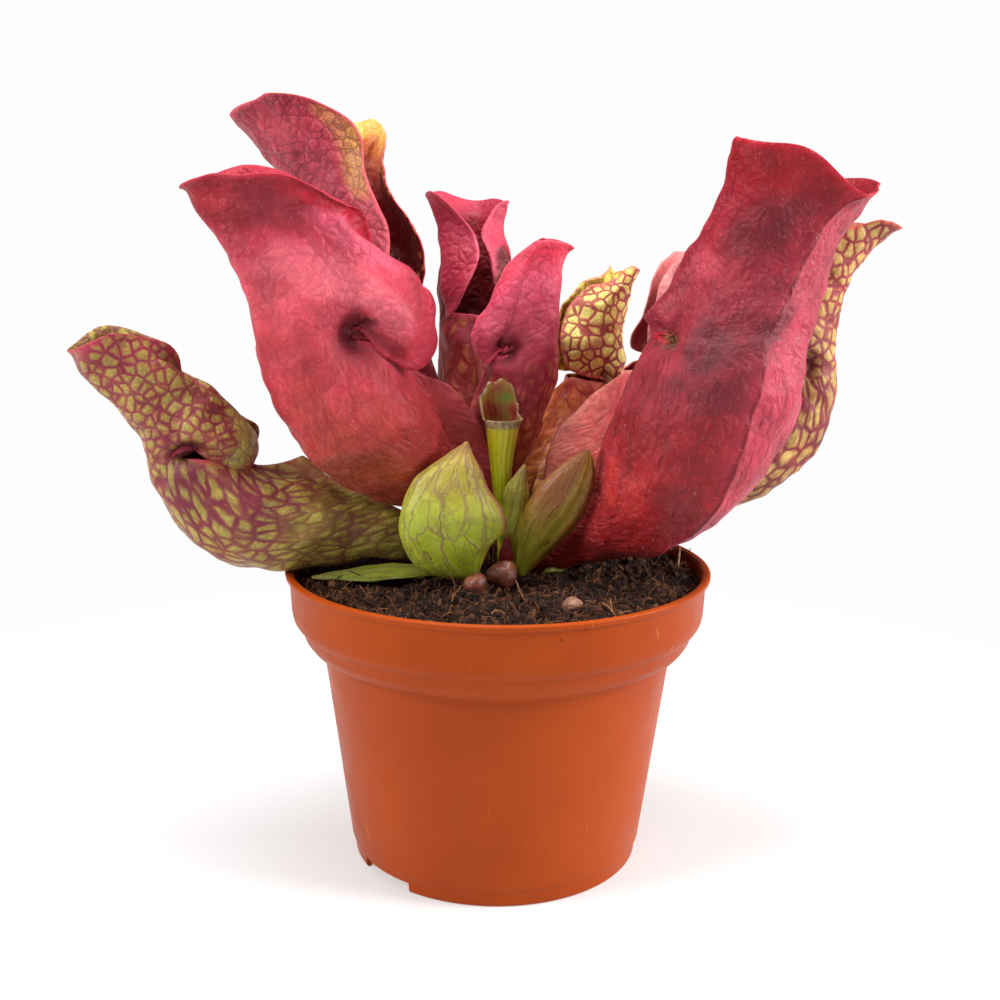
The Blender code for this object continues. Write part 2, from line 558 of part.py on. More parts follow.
def build_leaf_bud():
    """The broad unopened leaf at the front of the crown, shaped like a flattened fig with a pointed tip."""
    path = [(-6.8, -18.6, 84.4), (-8.8, -20.4, 87.8), (-11.5, -22.6, 93.5), (-12.4, -24, 101),
            (-12, -24, 108.5), (-10.3, -23.8, 115), (-8.4, -23.2, 121.6)]
    half_width = [1.8, 5.5, 12.0, 13.2, 10.8, 5.8, 0.4]
    half_depth = [1.4, 3.6, 5.4, 5.8, 5, 3.2, 0.4]
    green = material("bud_green", (0.28, 0.33, 0.06), 0.45)
    loft("leaf_bud", path, half_width, half_depth, green, segments=14)


def build_small_leaves():
    """A young leaf, a slender bud, a narrow leaf lying on the peat and a scrap of leaf."""
    green = material("bud_green", (0.28, 0.33, 0.06), 0.45)
    young = [(6.2, -15.3, 84.5), (6.9, -16.8, 89), (10.2, -18.5, 98), (15.5, -20, 107),
             (20.3, -21, 114.5), (23.4, -21.5, 119.9)]
    loft("young_leaf", young, [1.1, 1.8, 4.6, 5.2, 3.3, 0.4], [1, 1.3, 2.4, 2.6, 1.8, 0.4], green)
    slender = [(3.2, -11.5, 85), (2.8, -12.5, 91), (3.6, -13, 99), (4.8, -13, 107), (6.9, -12.8, 113.8)]
    loft("small_bud", slender, [0.9, 1.4, 2.1, 2.4, 0.4], [0.8, 1.1, 1.5, 1.5, 0.4], green)
    lying = [(-14, -10.6, 83.6), (-24, -14.4, 84.3), (-36, -15.8, 83.7), (-50, -16.4, 82.6)]
    up = (0, -0.5, 1)
    loft("low_leaf", lying, [1.6, 2.8, 3.0, 0.5], [0.5, 0.5, 0.5, 0.4], green, facing=up, segments=8)
    scrap = [(12.5, -9.6, 82.4), (15, -10, 83.4), (18, -9.8, 82.8)]
    loft("leaf_fragment", scrap, [0.5, 1.5, 0.5], [0.3, 0.5, 0.3], green, facing=up, segments=8)


def build_cut_leaf():
    """The stump of an old petiole: a hollow tube with an open top that stands higher at the back."""
    segments = 14
    turns = np.arange(segments) * 2 * math.pi / segments
    rim = 125.6 + 10.2 * np.clip(np.sin(turns - 0.25), 0, 1) ** 1.3
    outside = [(2.4, 82, 2.2), (1.6, 92, 1.9), (0.9, 104, 2.3), (0.6, 114, 3.2), (0.8, 122, 4.3)]
    inside = [(0.8, 122, 3.3), (0.6, 113, 2.2)]
    rings = []
    for x, z, r in outside:
        rings.append([(x + r * math.cos(t), -8 + r * math.sin(t), z) for t in turns])
    for r in (4.7, 3.9):
        rings.append([(0.8 + r * math.cos(t), -8 + r * math.sin(t), top) for t, top in zip(turns, rim)])
    for x, z, r in inside:
        rings.append([(x + r * math.cos(t), -8 + r * math.sin(t), z) for t in turns])
    vertices = [point for ring in rings for point in ring]
    faces = [list(range(segments)), list(range((len(rings) - 1) * segments, len(rings) * segments))]
    for i in range(len(rings) - 1):
        for k in range(segments):
            n = (k + 1) % segments
            faces.append([i * segments + k, i * segments + n, (i + 1) * segments + n, (i + 1) * segments + k])
    add_object("cut_leaf", vertices, faces, material("stub_green", (0.3, 0.4, 0.03), 0.4))


def build_crown():
    """Knobs of the rhizome that show above the peat, and one red scale leaf between them."""
    brown = material("rhizome", (0.2, 0.07, 0.04), 0.5)
    knobs = {"rhizome_knob_left": (-6.0, -25.7, 84.4, 3.2), "rhizome_knob_right": (1.5, -19.0, 85.5, 4.0)}
    for name, (x, y, z, radius) in knobs.items():
        rows = [(-1.0, 0.5), (-0.8, 0.75), (-0.4, 0.95), (0.0, 1.0), (0.45, 0.88), (0.8, 0.55),
                (1.0, 0.12)]
        path = [(x, y, z + level * radius * 0.8) for level, _ in rows]
        widths = [radius * w for _, w in rows]
        loft(name, path, widths, [w * 0.9 for w in widths], brown)
    scale = [(1.9, -14.0, 85.6), (2.0, -14.9, 89.8), (2.6, -15.5, 94.8)]
    red = material("scale_red", (0.35, 0.03, 0.04), 0.5)
    loft("crown_scale", scale, [1.6, 1.9, 0.4], [0.7, 0.8, 0.3], red)


def build_litter():
    """A chip of bark and a bit of twig lying on the peat."""
    bark = material("bark", (0.2, 0.1, 0.06), 0.85)
    chip = [(16.4, -37, 82.0), (18.6, -38, 83.4), (21.4, -39.2, 83.0)]
    loft("bark_chip", chip, [1.4, 2.4, 1.0], [0.6, 1.0, 0.6], bark, facing=(0, -0.6, 1), segments=8)
    pale = material("dry_twig", (0.5, 0.35, 0.2), 0.8)
    twig = [(51, 6, 80.6), (51.6, 6.2, 84), (51.8, 6, 87)]
    loft("twig", twig, [0.6, 0.5, 0.4], [0.6, 0.5, 0.4], pale, segments=8)


def clear_scene():
    for found in list(bpy.data.objects):
        bpy.data.objects.remove(found)


def centre_on_origin():
    """Moves every mesh sideways so that the middle of the whole plant's plan lies on the origin."""
    corners = np.array([v.co[:2] for o in bpy.data.objects if not o.hide_render for v in o.data.vertices])
    middle = (corners.min(axis=0) + corners.max(axis=0)) / 2
    for found in bpy.data.objects:
        for vertex in found.data.vertices:
            vertex.co.x -= middle[0]
            vertex.co.y -= middle[1]


clear_scene()
build_pot()
build_soil()
build_pitchers()
build_leaf_bud()
build_small_leaves()
build_cut_leaf()
build_crown()
build_litter()
centre_on_origin()
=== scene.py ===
# %% [markdown]
# Potted purple pitcher plant. Leaves, buds, peat and pot are modelled at real size, in metres, round the
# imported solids, which fix where every piece stands. Plant forms are easiest to give in millimetres, each
# leaf in its own upright plane, so most of the numbers below are millimetres and are turned into metres
# when a mesh is made.

import math

import bpy
import numpy as np
from mathutils import Matrix, Vector


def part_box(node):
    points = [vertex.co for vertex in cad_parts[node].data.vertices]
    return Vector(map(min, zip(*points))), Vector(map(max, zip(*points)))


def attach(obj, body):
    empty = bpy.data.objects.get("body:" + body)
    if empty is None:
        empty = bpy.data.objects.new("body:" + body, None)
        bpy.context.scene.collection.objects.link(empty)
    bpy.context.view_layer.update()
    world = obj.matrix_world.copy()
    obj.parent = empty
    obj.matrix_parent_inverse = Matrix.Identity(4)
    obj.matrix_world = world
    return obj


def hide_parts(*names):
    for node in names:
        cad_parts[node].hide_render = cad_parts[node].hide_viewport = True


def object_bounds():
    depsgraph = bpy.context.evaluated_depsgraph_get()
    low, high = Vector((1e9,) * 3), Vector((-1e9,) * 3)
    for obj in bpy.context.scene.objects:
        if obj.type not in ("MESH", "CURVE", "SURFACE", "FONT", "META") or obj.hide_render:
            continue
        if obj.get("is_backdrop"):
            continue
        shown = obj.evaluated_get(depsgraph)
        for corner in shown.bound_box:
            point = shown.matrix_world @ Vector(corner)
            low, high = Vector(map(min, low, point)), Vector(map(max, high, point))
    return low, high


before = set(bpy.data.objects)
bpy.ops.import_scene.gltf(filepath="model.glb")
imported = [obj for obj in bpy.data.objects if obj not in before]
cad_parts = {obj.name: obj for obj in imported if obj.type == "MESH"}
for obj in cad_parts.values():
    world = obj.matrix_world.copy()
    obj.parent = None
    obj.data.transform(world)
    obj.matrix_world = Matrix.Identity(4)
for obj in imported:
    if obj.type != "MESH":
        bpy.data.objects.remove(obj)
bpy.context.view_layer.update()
MM = 0.001
pot_low, pot_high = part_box("pot")
POT_AXIS = np.array([(pot_low.x + pot_high.x) / 2, (pot_low.y + pot_high.y) / 2, 0.0]) / MM
print("pot axis at", POT_AXIS.round(2), "mm; nodes:", len(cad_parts))


# %% [markdown]
# Colours are picked as screen values (sRGB) and turned into the linear values shaders work with.

# %% Colour and node helpers
def srgb(code):
    """Linear RGBA of an sRGB hex code."""
    parts = [int(code[k : k + 2], 16) / 255 for k in (0, 2, 4)]
    return (*[p / 12.92 if p <= 0.04045 else ((p + 0.055) / 1.055) ** 2.4 for p in parts], 1.0)


def add(tree, kind, inputs=(), **settings):
    """Adds a node. Inputs are values or sockets, by name or number."""
    made = tree.nodes.new(kind)
    for key, value in settings.items():
        setattr(made, key, value)
    for key, value in dict(inputs).items():
        if isinstance(value, bpy.types.NodeSocket):
            tree.links.new(value, made.inputs[key])
        else:
            made.inputs[key].default_value = value
    return made


def maths(tree, operation, a, b=0.0, clamp=False):
    return add(tree, "ShaderNodeMath", {0: a, 1: b}, operation=operation, use_clamp=clamp).outputs[0]


def mix(tree, factor, a, b, blend="MIX"):
    """Colour mix of a and b."""
    inputs = {0: factor, 6: a, 7: b}
    return add(tree, "ShaderNodeMix", inputs, data_type="RGBA", blend_type=blend).outputs[2]


def ramp(tree, factor, stops, smooth=True):
    """Colour ramp. Stops are (place, hex colour) or (place, grey value)."""
    made = add(tree, "ShaderNodeValToRGB", {0: factor})
    made.color_ramp.interpolation = "EASE" if smooth else "LINEAR"
    points = made.color_ramp.elements
    while len(points) < len(stops):
        points.new(0.5)
    for point, (place, colour) in zip(points, stops):
        point.position = place
        point.color = srgb(colour) if isinstance(colour, str) else (colour, colour, colour, 1)
    return made.outputs[0]


def spread(tree, value, low, high, to_low=0.0, to_high=1.0):
    """Maps low..high to another range, clamped."""
    inputs = {0: value, 1: low, 2: high, 3: to_low, 4: to_high}
    return add(tree, "ShaderNodeMapRange", inputs, interpolation_type="SMOOTHSTEP").outputs[0]


def noise(tree, where, scale, detail=3.0, roughness=0.55):
    inputs = {"Vector": where, "Scale": scale, "Detail": detail, "Roughness": roughness}
    return add(tree, "ShaderNodeTexNoise", inputs).outputs[0]


def new_material(name):
    """An empty Principled material: its tree, its shader and itself."""
    made = bpy.data.materials.new(name)
    made.use_nodes = True
    return made.node_tree, made.node_tree.nodes["Principled BSDF"], made


def bump(tree, height, distance, strength=1.0, normal=None):
    """Bump from a height of 0 to 1 that stands for the given distance in metres."""
    inputs = {"Height": height, "Distance": distance, "Strength": strength}
    if normal is not None:
        inputs["Normal"] = normal
    return add(tree, "ShaderNodeBump", inputs).outputs[0]


print("helpers ready")


# %% [markdown]
# Meshes are made from numpy arrays in millimetres round the pot's axis. Values a shader needs, such as how
# far up the leaf a point is, are stored with the points.

# %% Mesh helpers
def smooth(points, at):
    """The smooth curve through evenly timed points (Catmull-Rom), read at values from 0 to 1."""
    points = np.atleast_2d(np.array(points, float))
    if points.shape[0] == 1:
        points = points.T
    last = len(points) - 1
    padded = np.vstack([2 * points[0] - points[1], points, 2 * points[-1] - points[-2]])
    place = np.clip(np.asarray(at, float), 0, 1) * last
    start = np.minimum(place.astype(int), last - 1)
    u = (place - start)[:, None]
    a, b, c, d = (padded[start + k] for k in range(4))
    return 0.5 * (2 * b + (c - a) * u + (2 * a - 5 * b + 4 * c - d) * u**2 + (3 * b - a - 3 * c + d) * u**3)


def make_object(name, vertices, faces, finish, values=None, sharp=None):
    """A mesh object from points in mm round the pot's axis. Values are stored on the points."""
    mesh = bpy.data.meshes.new(name)
    mesh.from_pydata(((np.asarray(vertices) + POT_AXIS) * MM).tolist(), [], faces)
    for key, numbers in (values or {}).items():
        numbers = np.asarray(numbers, np.float32)
        kind, field = ("FLOAT_VECTOR", "vector") if numbers.ndim == 2 else ("FLOAT", "value")
        mesh.attributes.new(key, kind, "POINT").data.foreach_set(field, numbers.ravel())
    mesh.materials.append(finish)
    mesh.shade_smooth()
    if sharp:
        mesh.set_sharp_from_angle(angle=math.radians(sharp))
    made = bpy.data.objects.new(name, mesh)
    bpy.context.scene.collection.objects.link(made)
    return made


def point_normals(vertices, faces):
    """Area-weighted normals of the points of a mesh of three- and four-sided faces."""
    normals = np.zeros_like(vertices)
    for size in (3, 4):
        group = np.array([f for f in faces if len(f) == size])
        if len(group):
            corner = vertices[group]
            area = np.cross(corner[:, -1] - corner[:, 1], corner[:, 0] - corner[:, 2 if size == 4 else 1])
            for k in range(size):
                np.add.at(normals, group[:, k], area)
    return normals / np.maximum(np.linalg.norm(normals, axis=1, keepdims=True), 1e-9)


def ripple(points, size, seed):
    """Smooth wavy values of about -1 to 1 over points, with waves about size mm long."""
    rng = np.random.default_rng(seed)
    total = np.zeros(len(points))
    for _ in range(7):
        way = rng.normal(size=3)
        way /= np.linalg.norm(way)
        total += np.sin(points @ way * (2 * math.pi / size) * rng.uniform(0.7, 1.4) + rng.uniform(0, 6.3))
    return total / 3.0


print("mesh helpers ready")


# %% [markdown]
# A pitcher is one leaf rolled into a tube. The back of the tube swells outwards, a thin wing runs down its
# front, and above the mouth the back goes on up into an upright hood whose sides fold forward into two
# rounded ears. The form is drawn in the leaf's own plane (r outwards, z up) with a few points per outline.
# Levels run up the leaf and columns run round it.

# %% Pitcher forms
FORMS = {
    "left_large": dict(
        tube_back=[(6, 81.8), (17, 97), (33.5, 103.5), (49.5, 112), (59, 125), (64.5, 142), (66.5, 156)],
        tube_front=[(3, 85.5), (5, 96), (10.5, 109), (16, 121), (21.5, 131), (25, 136.5), (27.5, 140)],
        tube_half_width=[2.2, 5, 10, 15, 18, 17, 15.5],
        tube_turn=[0, 0, 0, 0, 0, 0, 0],
        wing=[0, 5, 9, 10, 9, 8, 3],
        hood_back=[(66.5, 156), (68.5, 162), (72, 170.5), (77.5, 178), (82.5, 183)],
        shoulder=[(39.5, 149), (42.5, 159.5), (47.5, 170), (53.5, 181), (62.5, 189.5)],
        hood_edge=[(39.5, 149), (34, 143), (28, 139.5), (21, 143), (18.5, 150), (20, 158.5), (31, 168),
                   (34.5, 179.5), (42, 185.5)],
        hood_half_width=[15.5, 15, 13, 14, 17],
        edge_side=[13, 11, 8, 5, 3, 4, 9, 16],
        ear_bulge=[0, 5, 4, 3, 1],
        hood_turn=[0, 0],
    ),
    "left_low": dict(
        tube_back=[(8, 81.8), (28, 86.2), (47, 85), (65, 85.2), (80, 91.5), (89.5, 104), (93.5, 117)],
        tube_front=[(7.5, 85), (22, 96), (35, 102.5), (47, 107), (57, 110), (64, 111.5), (69.5, 111)],
        tube_half_width=[2, 4, 7.5, 11, 13.5, 13.5, 12],
        tube_turn=[0, 0, 0, 0, 0, 0, 0],
        wing=[0, 1, 1.5, 2.5, 7, 9, 3],
        hood_back=[(93.5, 117), (95, 121), (102.5, 130.5), (110, 137.5), (113, 143.5)],
        shoulder=[(81.5, 118), (84.5, 124), (90.5, 133), (99, 141), (106.5, 147)],
        hood_edge=[(81.5, 118), (78.5, 114), (72.5, 111), (67.5, 113), (66, 119.5), (71.5, 125.5),
                   (84, 134.5), (87, 143), (97, 149)],
        hood_half_width=[12, 11, 10, 11, 13],
        edge_side=[10, 8, 6, 4, 3, 4, 8, 12],
        ear_bulge=[0, 4, 3, 2, 1],
        hood_turn=[0, 11, 14],
    ),
    "centre": dict(
        tube_back=[(1.4, 81.7), (3.3, 100), (6.5, 113), (12.4, 124), (16, 134), (17, 142.5), (16.7, 150)],
        tube_front=[(-0.8, 82), (-0.5, 100), (-2, 113), (-5, 123), (-4.5, 130), (-2, 136.5), (1, 141.5)],
        tube_half_width=[1.5, 3, 5, 8, 9.5, 9.5, 9],
        tube_turn=[0, -5, -10, -15, -20, -20, -20],
        wing=[0, 1, 2.5, 3, 2.5, 2, 1],
        hood_back=[(16.7, 150), (16.3, 155), (16.7, 162.5), (18, 167), (20, 170)],
        shoulder=[(4, 144), (5.5, 149.5), (6.7, 156.5), (8, 163), (12, 170.5)],
        hood_edge=[(4, 144), (2.2, 142), (-1.5, 140.5), (-5, 142.5), (-6.8, 146.5), (-4.5, 153), (1, 160.5),
                   (3, 166.5), (10.5, 172)],
        hood_half_width=[9, 8.5, 8, 8, 9],
        edge_side=[8, 7, 5, 3, 2, 3, 5, 8],
        ear_bulge=[0, 3, 2, 1, 0],
        hood_turn=[-20, -15],
    ),
    "right_small": dict(
        tube_back=[(6.5, 81.7), (21.5, 93), (37.5, 103), (49, 112.5), (55, 120.5), (57, 127), (57, 132)],
        tube_front=[(3.5, 83.5), (14.5, 97), (24.5, 108), (33, 116), (37.5, 121.5), (40, 125.5), (42, 128)],
        tube_half_width=[1.5, 3, 5.5, 7, 8, 8, 7.5],
        tube_turn=[0, -5, -10, -15, -20, -25, -25],
        wing=[0, 4, 9, 12, 12, 9, 2],
        hood_back=[(57, 132), (56.7, 140), (57.3, 148.5), (59, 156), (63, 163)],
        shoulder=[(48.5, 134), (48, 141.5), (49, 149.5), (52.5, 157.5), (60, 164)],
        hood_edge=[(48.5, 134), (44, 130.5), (38.8, 131.5), (36, 135.5), (34.8, 142.4), (36.7, 150),
                   (41.5, 156.3), (49.5, 161.8), (58, 164.6)],
        hood_half_width=[7.5, 7, 6.5, 6.5, 7],
        edge_side=[6.5, 5, 4, 3, 2, 2, 3.5, 5],
        ear_bulge=[0, 2.5, 2, 1, 0],
        hood_turn=[-25, -25],
    ),
    "right_back": dict(
        tube_back=[(3.5, 81.7), (38, 89), (66.5, 97.5), (82, 106), (90.5, 116), (94.5, 127.5), (95, 139)],
        tube_front=[(2, 87), (25.5, 99), (46, 111.5), (59.5, 121), (68, 128), (72, 134), (73.5, 138)],
        tube_half_width=[2, 4, 8, 11, 12, 11.5, 11],
        tube_turn=[0, 0, 0, 0, 0, 0, 0],
        wing=[0, 2, 4, 5, 5, 4, 1],
        hood_back=[(95, 139), (95, 148), (97.5, 159.5), (102.5, 168.5), (109.5, 177.5)],
        shoulder=[(83, 141), (83, 151), (85.5, 161), (91, 169), (102, 178)],
        hood_edge=[(83, 141), (78.5, 138.5), (73.5, 142), (71.5, 148), (74, 156.5), (78.5, 163.5),
                   (83, 170.5), (89, 176), (98, 178.5)],
        hood_half_width=[11, 10.5, 9.5, 10, 12],
        edge_side=[10, 8, 6, 4, 3, 4, 8, 11],
        ear_bulge=[0, 3, 3, 2, 1],
        hood_turn=[0, 0],
    ),
    "right_pale": dict(
        tube_back=[(2.5, 81.7), (24.5, 90.5), (44, 102.5), (57, 113.5), (64, 125), (67, 135.5),
                   (67.5, 145)],
        tube_front=[(0.5, 86), (11, 98), (18.5, 109), (25.5, 117.5), (30.5, 123.5), (34.5, 129.5),
                    (38, 135)],
        tube_half_width=[2, 4, 8, 11, 12.5, 12, 11],
        tube_turn=[0, 0, -4, -8, -12, -16, -20],
        wing=[0, 5, 9, 11, 10, 7, 1],
        hood_back=[(67.5, 145), (67.5, 151.5), (69, 158), (72.5, 164.5), (77, 170)],
        shoulder=[(52.5, 144), (51, 151), (52.5, 158), (56, 163.5), (63.5, 169.5)],
        hood_edge=[(52.5, 144), (46, 140.5), (42.5, 141.3), (41, 145.1), (42, 152.5), (44.8, 159.7),
                   (49, 165.5), (53.5, 168.3), (59, 170)],
        hood_half_width=[11, 10.5, 10, 10, 12],
        edge_side=[10, 8, 6, 4, 3, 4, 8, 11],
        ear_bulge=[0, 3, 3, 2, 1],
        hood_turn=[-20, -12],
    ),
    "right_large": dict(
        tube_back=[(9, 81.8), (30, 88.2), (48.5, 93.5), (64.5, 105), (74.3, 119.7), (79.5, 135), (80, 148)],
        tube_front=[(7.3, 87.6), (17.3, 97.6), (24.3, 104), (26.5, 115), (29.2, 126), (33, 135.5),
                    (37, 143)],
        tube_half_width=[2, 7, 12.5, 19, 22, 22, 20],
        tube_turn=[0, -10, -25, -35, -40, -42, -42],
        wing=[0, 2, 3, 3, 2, 1, 0.5],
        hood_back=[(80, 148), (80.5, 159), (83, 170), (87, 180), (93, 188)],
        shoulder=[(52.5, 147), (54, 158), (61, 171), (69, 184), (76, 194)],
        hood_edge=[(52.5, 147), (44.3, 142), (39, 144.5), (37, 151.5), (41, 159), (52, 171), (60, 181),
                   (65, 189.5), (71, 195.5)],
        hood_half_width=[20, 19.5, 18.5, 19, 21],
        edge_side=[17, 14, 10, 6, 5, 7, 12, 17],
        ear_bulge=[0, 5, 4, 3, 1],
        hood_turn=[-42, -35, -25],
    ),
    "slender": dict(
        tube_back=[(6, 82), (20, 96), (34, 112), (43, 128), (47, 142), (48, 152)],
        tube_front=[(3, 85), (8, 98), (14, 114), (20, 130), (24, 142), (27, 150)],
        tube_half_width=[2, 4.5, 7.5, 9.5, 10, 9.5],
        tube_turn=[0, 0, 0, 0, 0, 0],
        wing=[0, 2, 3, 3, 2, 1],
        hood_back=[(48, 152), (49, 160), (51, 169), (55, 178), (60, 184)],
        shoulder=[(36, 151), (37, 158), (39, 167), (42, 176), (46, 183)],
        hood_edge=[(36, 151), (32, 149), (29, 150.5), (27, 155), (27.5, 161), (29, 167), (32, 174),
                   (35, 181), (38, 186)],
        hood_half_width=[9.5, 10, 8.8, 9, 11],
        edge_side=[8, 6.5, 4.5, 2, 0.7, 1.2, 5, 10],
        ear_bulge=[0, 3, 3, 2, 1],
        hood_turn=[0, 0],
    ),
    "left_back": dict(
        tube_back=[(7, 82), (24, 100), (42, 118), (53, 136), (58, 152), (60, 166)],
        tube_front=[(4, 86), (10, 102), (17, 120), (24, 138), (29, 152), (32, 160)],
        tube_half_width=[2.2, 7, 12, 15, 16, 15.5],
        tube_turn=[0, 0, 0, 0, 0, 0],
        wing=[0, 3, 4, 4, 3, 1],
        hood_back=[(60, 166), (63, 177), (67, 188), (73, 198), (80, 204)],
        shoulder=[(43, 164), (45, 174), (49, 186), (55, 198), (63, 208)],
        hood_edge=[(43, 164), (37, 159), (31, 161), (28, 168), (29, 177), (33, 187), (39, 196), (46, 204),
                   (54, 210)],
        hood_half_width=[15.5, 15, 14, 17, 22],
        edge_side=[13, 11, 8, 6, 5, 8, 15, 23],
        ear_bulge=[0, 5, 5, 4, 2],
        hood_turn=[0, 0],
    ),
}

# base is where the leaf's plane stands on the crown; tilt raises one side of a leaf and lowers the other.
LEAVES = {
    "pitcher_left_large": dict(form="left_large", azimuth=199, base=(0, 0), skin="skin_pink"),
    "pitcher_left_low": dict(form="left_low", azimuth=184, base=(0, -6), skin="skin_veined_green"),
    "pitcher_left_back": dict(form="left_back", azimuth=150, base=(-1.5, 3), tilt=0.12,
                              skin="skin_veined_red"),
    "pitcher_back": dict(form="slender", azimuth=101.5, base=(-2, 9), tilt=0.06, skin="skin_rose"),
    "pitcher_centre": dict(form="centre", azimuth=8, base=(-0.5, 6), skin="skin_rose"),
    "pitcher_right_small": dict(form="right_small", azimuth=50, base=(0, 11), skin="skin_veined_green"),
    "pitcher_right_pale": dict(form="right_pale", azimuth=31, base=(6, 5), skin="skin_pale"),
    "pitcher_right_back": dict(form="right_back", azimuth=12.5, base=(4, 0.4), skin="skin_veined_green"),
    "pitcher_right_large": dict(form="right_large", azimuth=-20, base=(2, -1), tilt=-0.09,
                                skin="skin_crimson"),
}

# Small pushes of the finished outline, in mm as seen from the front: place (x, z), reach and shift (x, z).
PUSHES = {
    "pitcher_left_large": [((-75, 185), 7, (0.1, 2.7)), ((-67, 187), 6, (0, 1.2)),
                           ((-46, 189), 7, (0.4, -3.2)), ((-38, 186), 6, (-2.1, -3)),
                           ((-28, 174), 8, (-4.3, -1)), ((-16, 152), 7, (-1.5, 0)),
                           ((-64, 152), 10, (-1.3, 0)), ((-34, 147), 5, (-1.6, 4)),
                           ((-72, 178), 7, (-2.0, -0.6))],
    "pitcher_left_back": [((-64, 214), 6, (-0.1, 0.2)), ((-69, 197), 7, (-5.2, -0.3)),
                          ((-36, 205), 6, (0, -1.2)), ((-29, 187), 9, (-5.2, 0)),
                          ((-22, 168), 6, (-1.2, 0.8)), ((-76, 207), 4, (-0.2, -0.4)),
                          ((-52, 208), 9, (0.4, 1.8)), ((-44, 202), 6, (3.2, 1.6)),
                          ((-67, 214), 6, (0.2, -1.9))],
    "pitcher_right_large": [((60, 195), 6, (-3.9, 1.2)), ((70, 194), 6, (0, 3.1)),
                            ((86, 191), 6, (0.2, -3.8)), ((95, 188), 3, (-1.2, 0.5)),
                            ((42, 168), 8, (3.1, -1)), ((37, 159), 6, (2.5, 0)), ((52.5, 184), 5, (1.6, 0)),
                            ((36.5, 143), 6, (2.0, 6.0))],
    "pitcher_right_back": [((99, 148), 13, (-1.7, 0)), ((104, 176), 5, (-0.8, 1.0))],
    "pitcher_right_pale": [((39, 155), 10, (3.8, -1.2))],
    "pitcher_right_small": [((31.7, 161), 3.5, (1.5, -1.8)), ((38, 155), 5, (0.9, 0)),
                            ((24, 128), 6, (-3, 2.5)), ((16, 115), 7, (-2.5, 0)),
                            ((12, 105), 6, (-1.5, 0))],
    "pitcher_left_low": [((-78, 111), 6, (-2.5, 5.7)), ((-92, 134), 6, (-1.1, -1.6)),
                         ((-83, 113), 9, (-1.4, -0.4)), ((-76, 99), 10, (-1.2, -1.4)),
                         ((-66, 90), 9, (-0.6, -1.0)), ((-87, 140), 5, (1.6, 1.4))],
    "pitcher_centre": [((3, 142), 5, (-3.2, -1.8)), ((13, 171), 5, (0.5, 2.4)), ((14, 156), 6, (0.7, 0)),
                       ((7, 113), 6, (2.6, 0))],
    "pitcher_back": [((-19.5, 184), 4, (-1.2, 2.4)), ((-3, 181), 5, (1.5, 1.6)), ((-3, 164), 7, (3.0, 3))],
}
print(len(LEAVES), "pitcher leaves")


# %% [markdown]
# The leaf skin is built as a fine grid. Each row is a ring that starts and ends at the wing in front. The
# lip columns end at the mouth, where the rim rolls outwards, and the neck columns go on up into the hood.
# There each side gets extra columns for the ear, which bulges out and curls in again at its edge.

# %% Pitcher grid
# Angles from the back of the leaf: the corners of the mouth, and where the lip meets the wing.
CREASE = math.radians(106)
LIP_END = math.radians(168)
# Columns of points in the neck, and on each side in the lip, the wing and the ear.
NECK, LIP, WING, FLANGE = 73, 14, 5, 26
TUBE_ROWS, HOOD_ROWS = 110, 84
WALL = 1.0
# Stored values: the tube takes the first MOUTH of a leaf's height, the wing has its own angle, each column
# of an ear adds a little angle, and skin that is far from any margin gets a distance of FAR.
MOUTH, WING_ANGLE, EAR_STEP, FAR = 0.6, 3.2, 0.075, 60.0
EAR_CUT_BACK = 0.55


def ring_angles():
    """Angles round the tube from one side of the wing, over the back, to the other. 0 is the back."""
    neck = np.linspace(-CREASE, CREASE, NECK)
    lip = np.linspace(CREASE, LIP_END, LIP + 1)[1:]
    return np.concatenate([-lip[::-1], neck, lip])


def twisted(points, middle, degrees):
    """Turns a row of points about the upright line through the middle of the leaf."""
    c, s = math.cos(math.radians(degrees)), math.sin(math.radians(degrees))
    r, side, z = points.T
    return np.column_stack([middle + (r - middle) * c - side * s, (r - middle) * s + side * c, z])


def tube_grid(form, levels, wing):
    """Closed rings of the tube: the leaf skin and, at both ends of each ring, the wing."""
    back, front = smooth(form["tube_back"], levels), smooth(form["tube_front"], levels)
    width, wing_height, turn = (smooth(form[key], levels)[:, 0]
                                for key in ("tube_half_width", "wing", "tube_turn"))
    angles = ring_angles()
    step = np.linspace(0, 1, WING)
    rows = []
    for b, f, w, k, t in zip(back, front, width, wing_height, turn):
        middle, half = (b + f) / 2, (b - f) / 2
        plane = middle + np.cos(angles)[:, None] * half
        side = w * np.sin(angles)
        height = max(k, 0.3) if wing else 0.05
        ahead = -half / np.linalg.norm(half)
        crest = f + ahead * (step * height)[:, None]
        half_width = min(0.8, 0.2 * w) * (1 - step) ** 1.5 + 0.28
        plane = np.vstack([crest[::-1], plane, crest])
        side = np.concatenate([-half_width[::-1], side, half_width])
        rows.append(twisted(np.column_stack([plane[:, 0], side, plane[:, 1]]), middle[0], t))
    return np.array(rows)


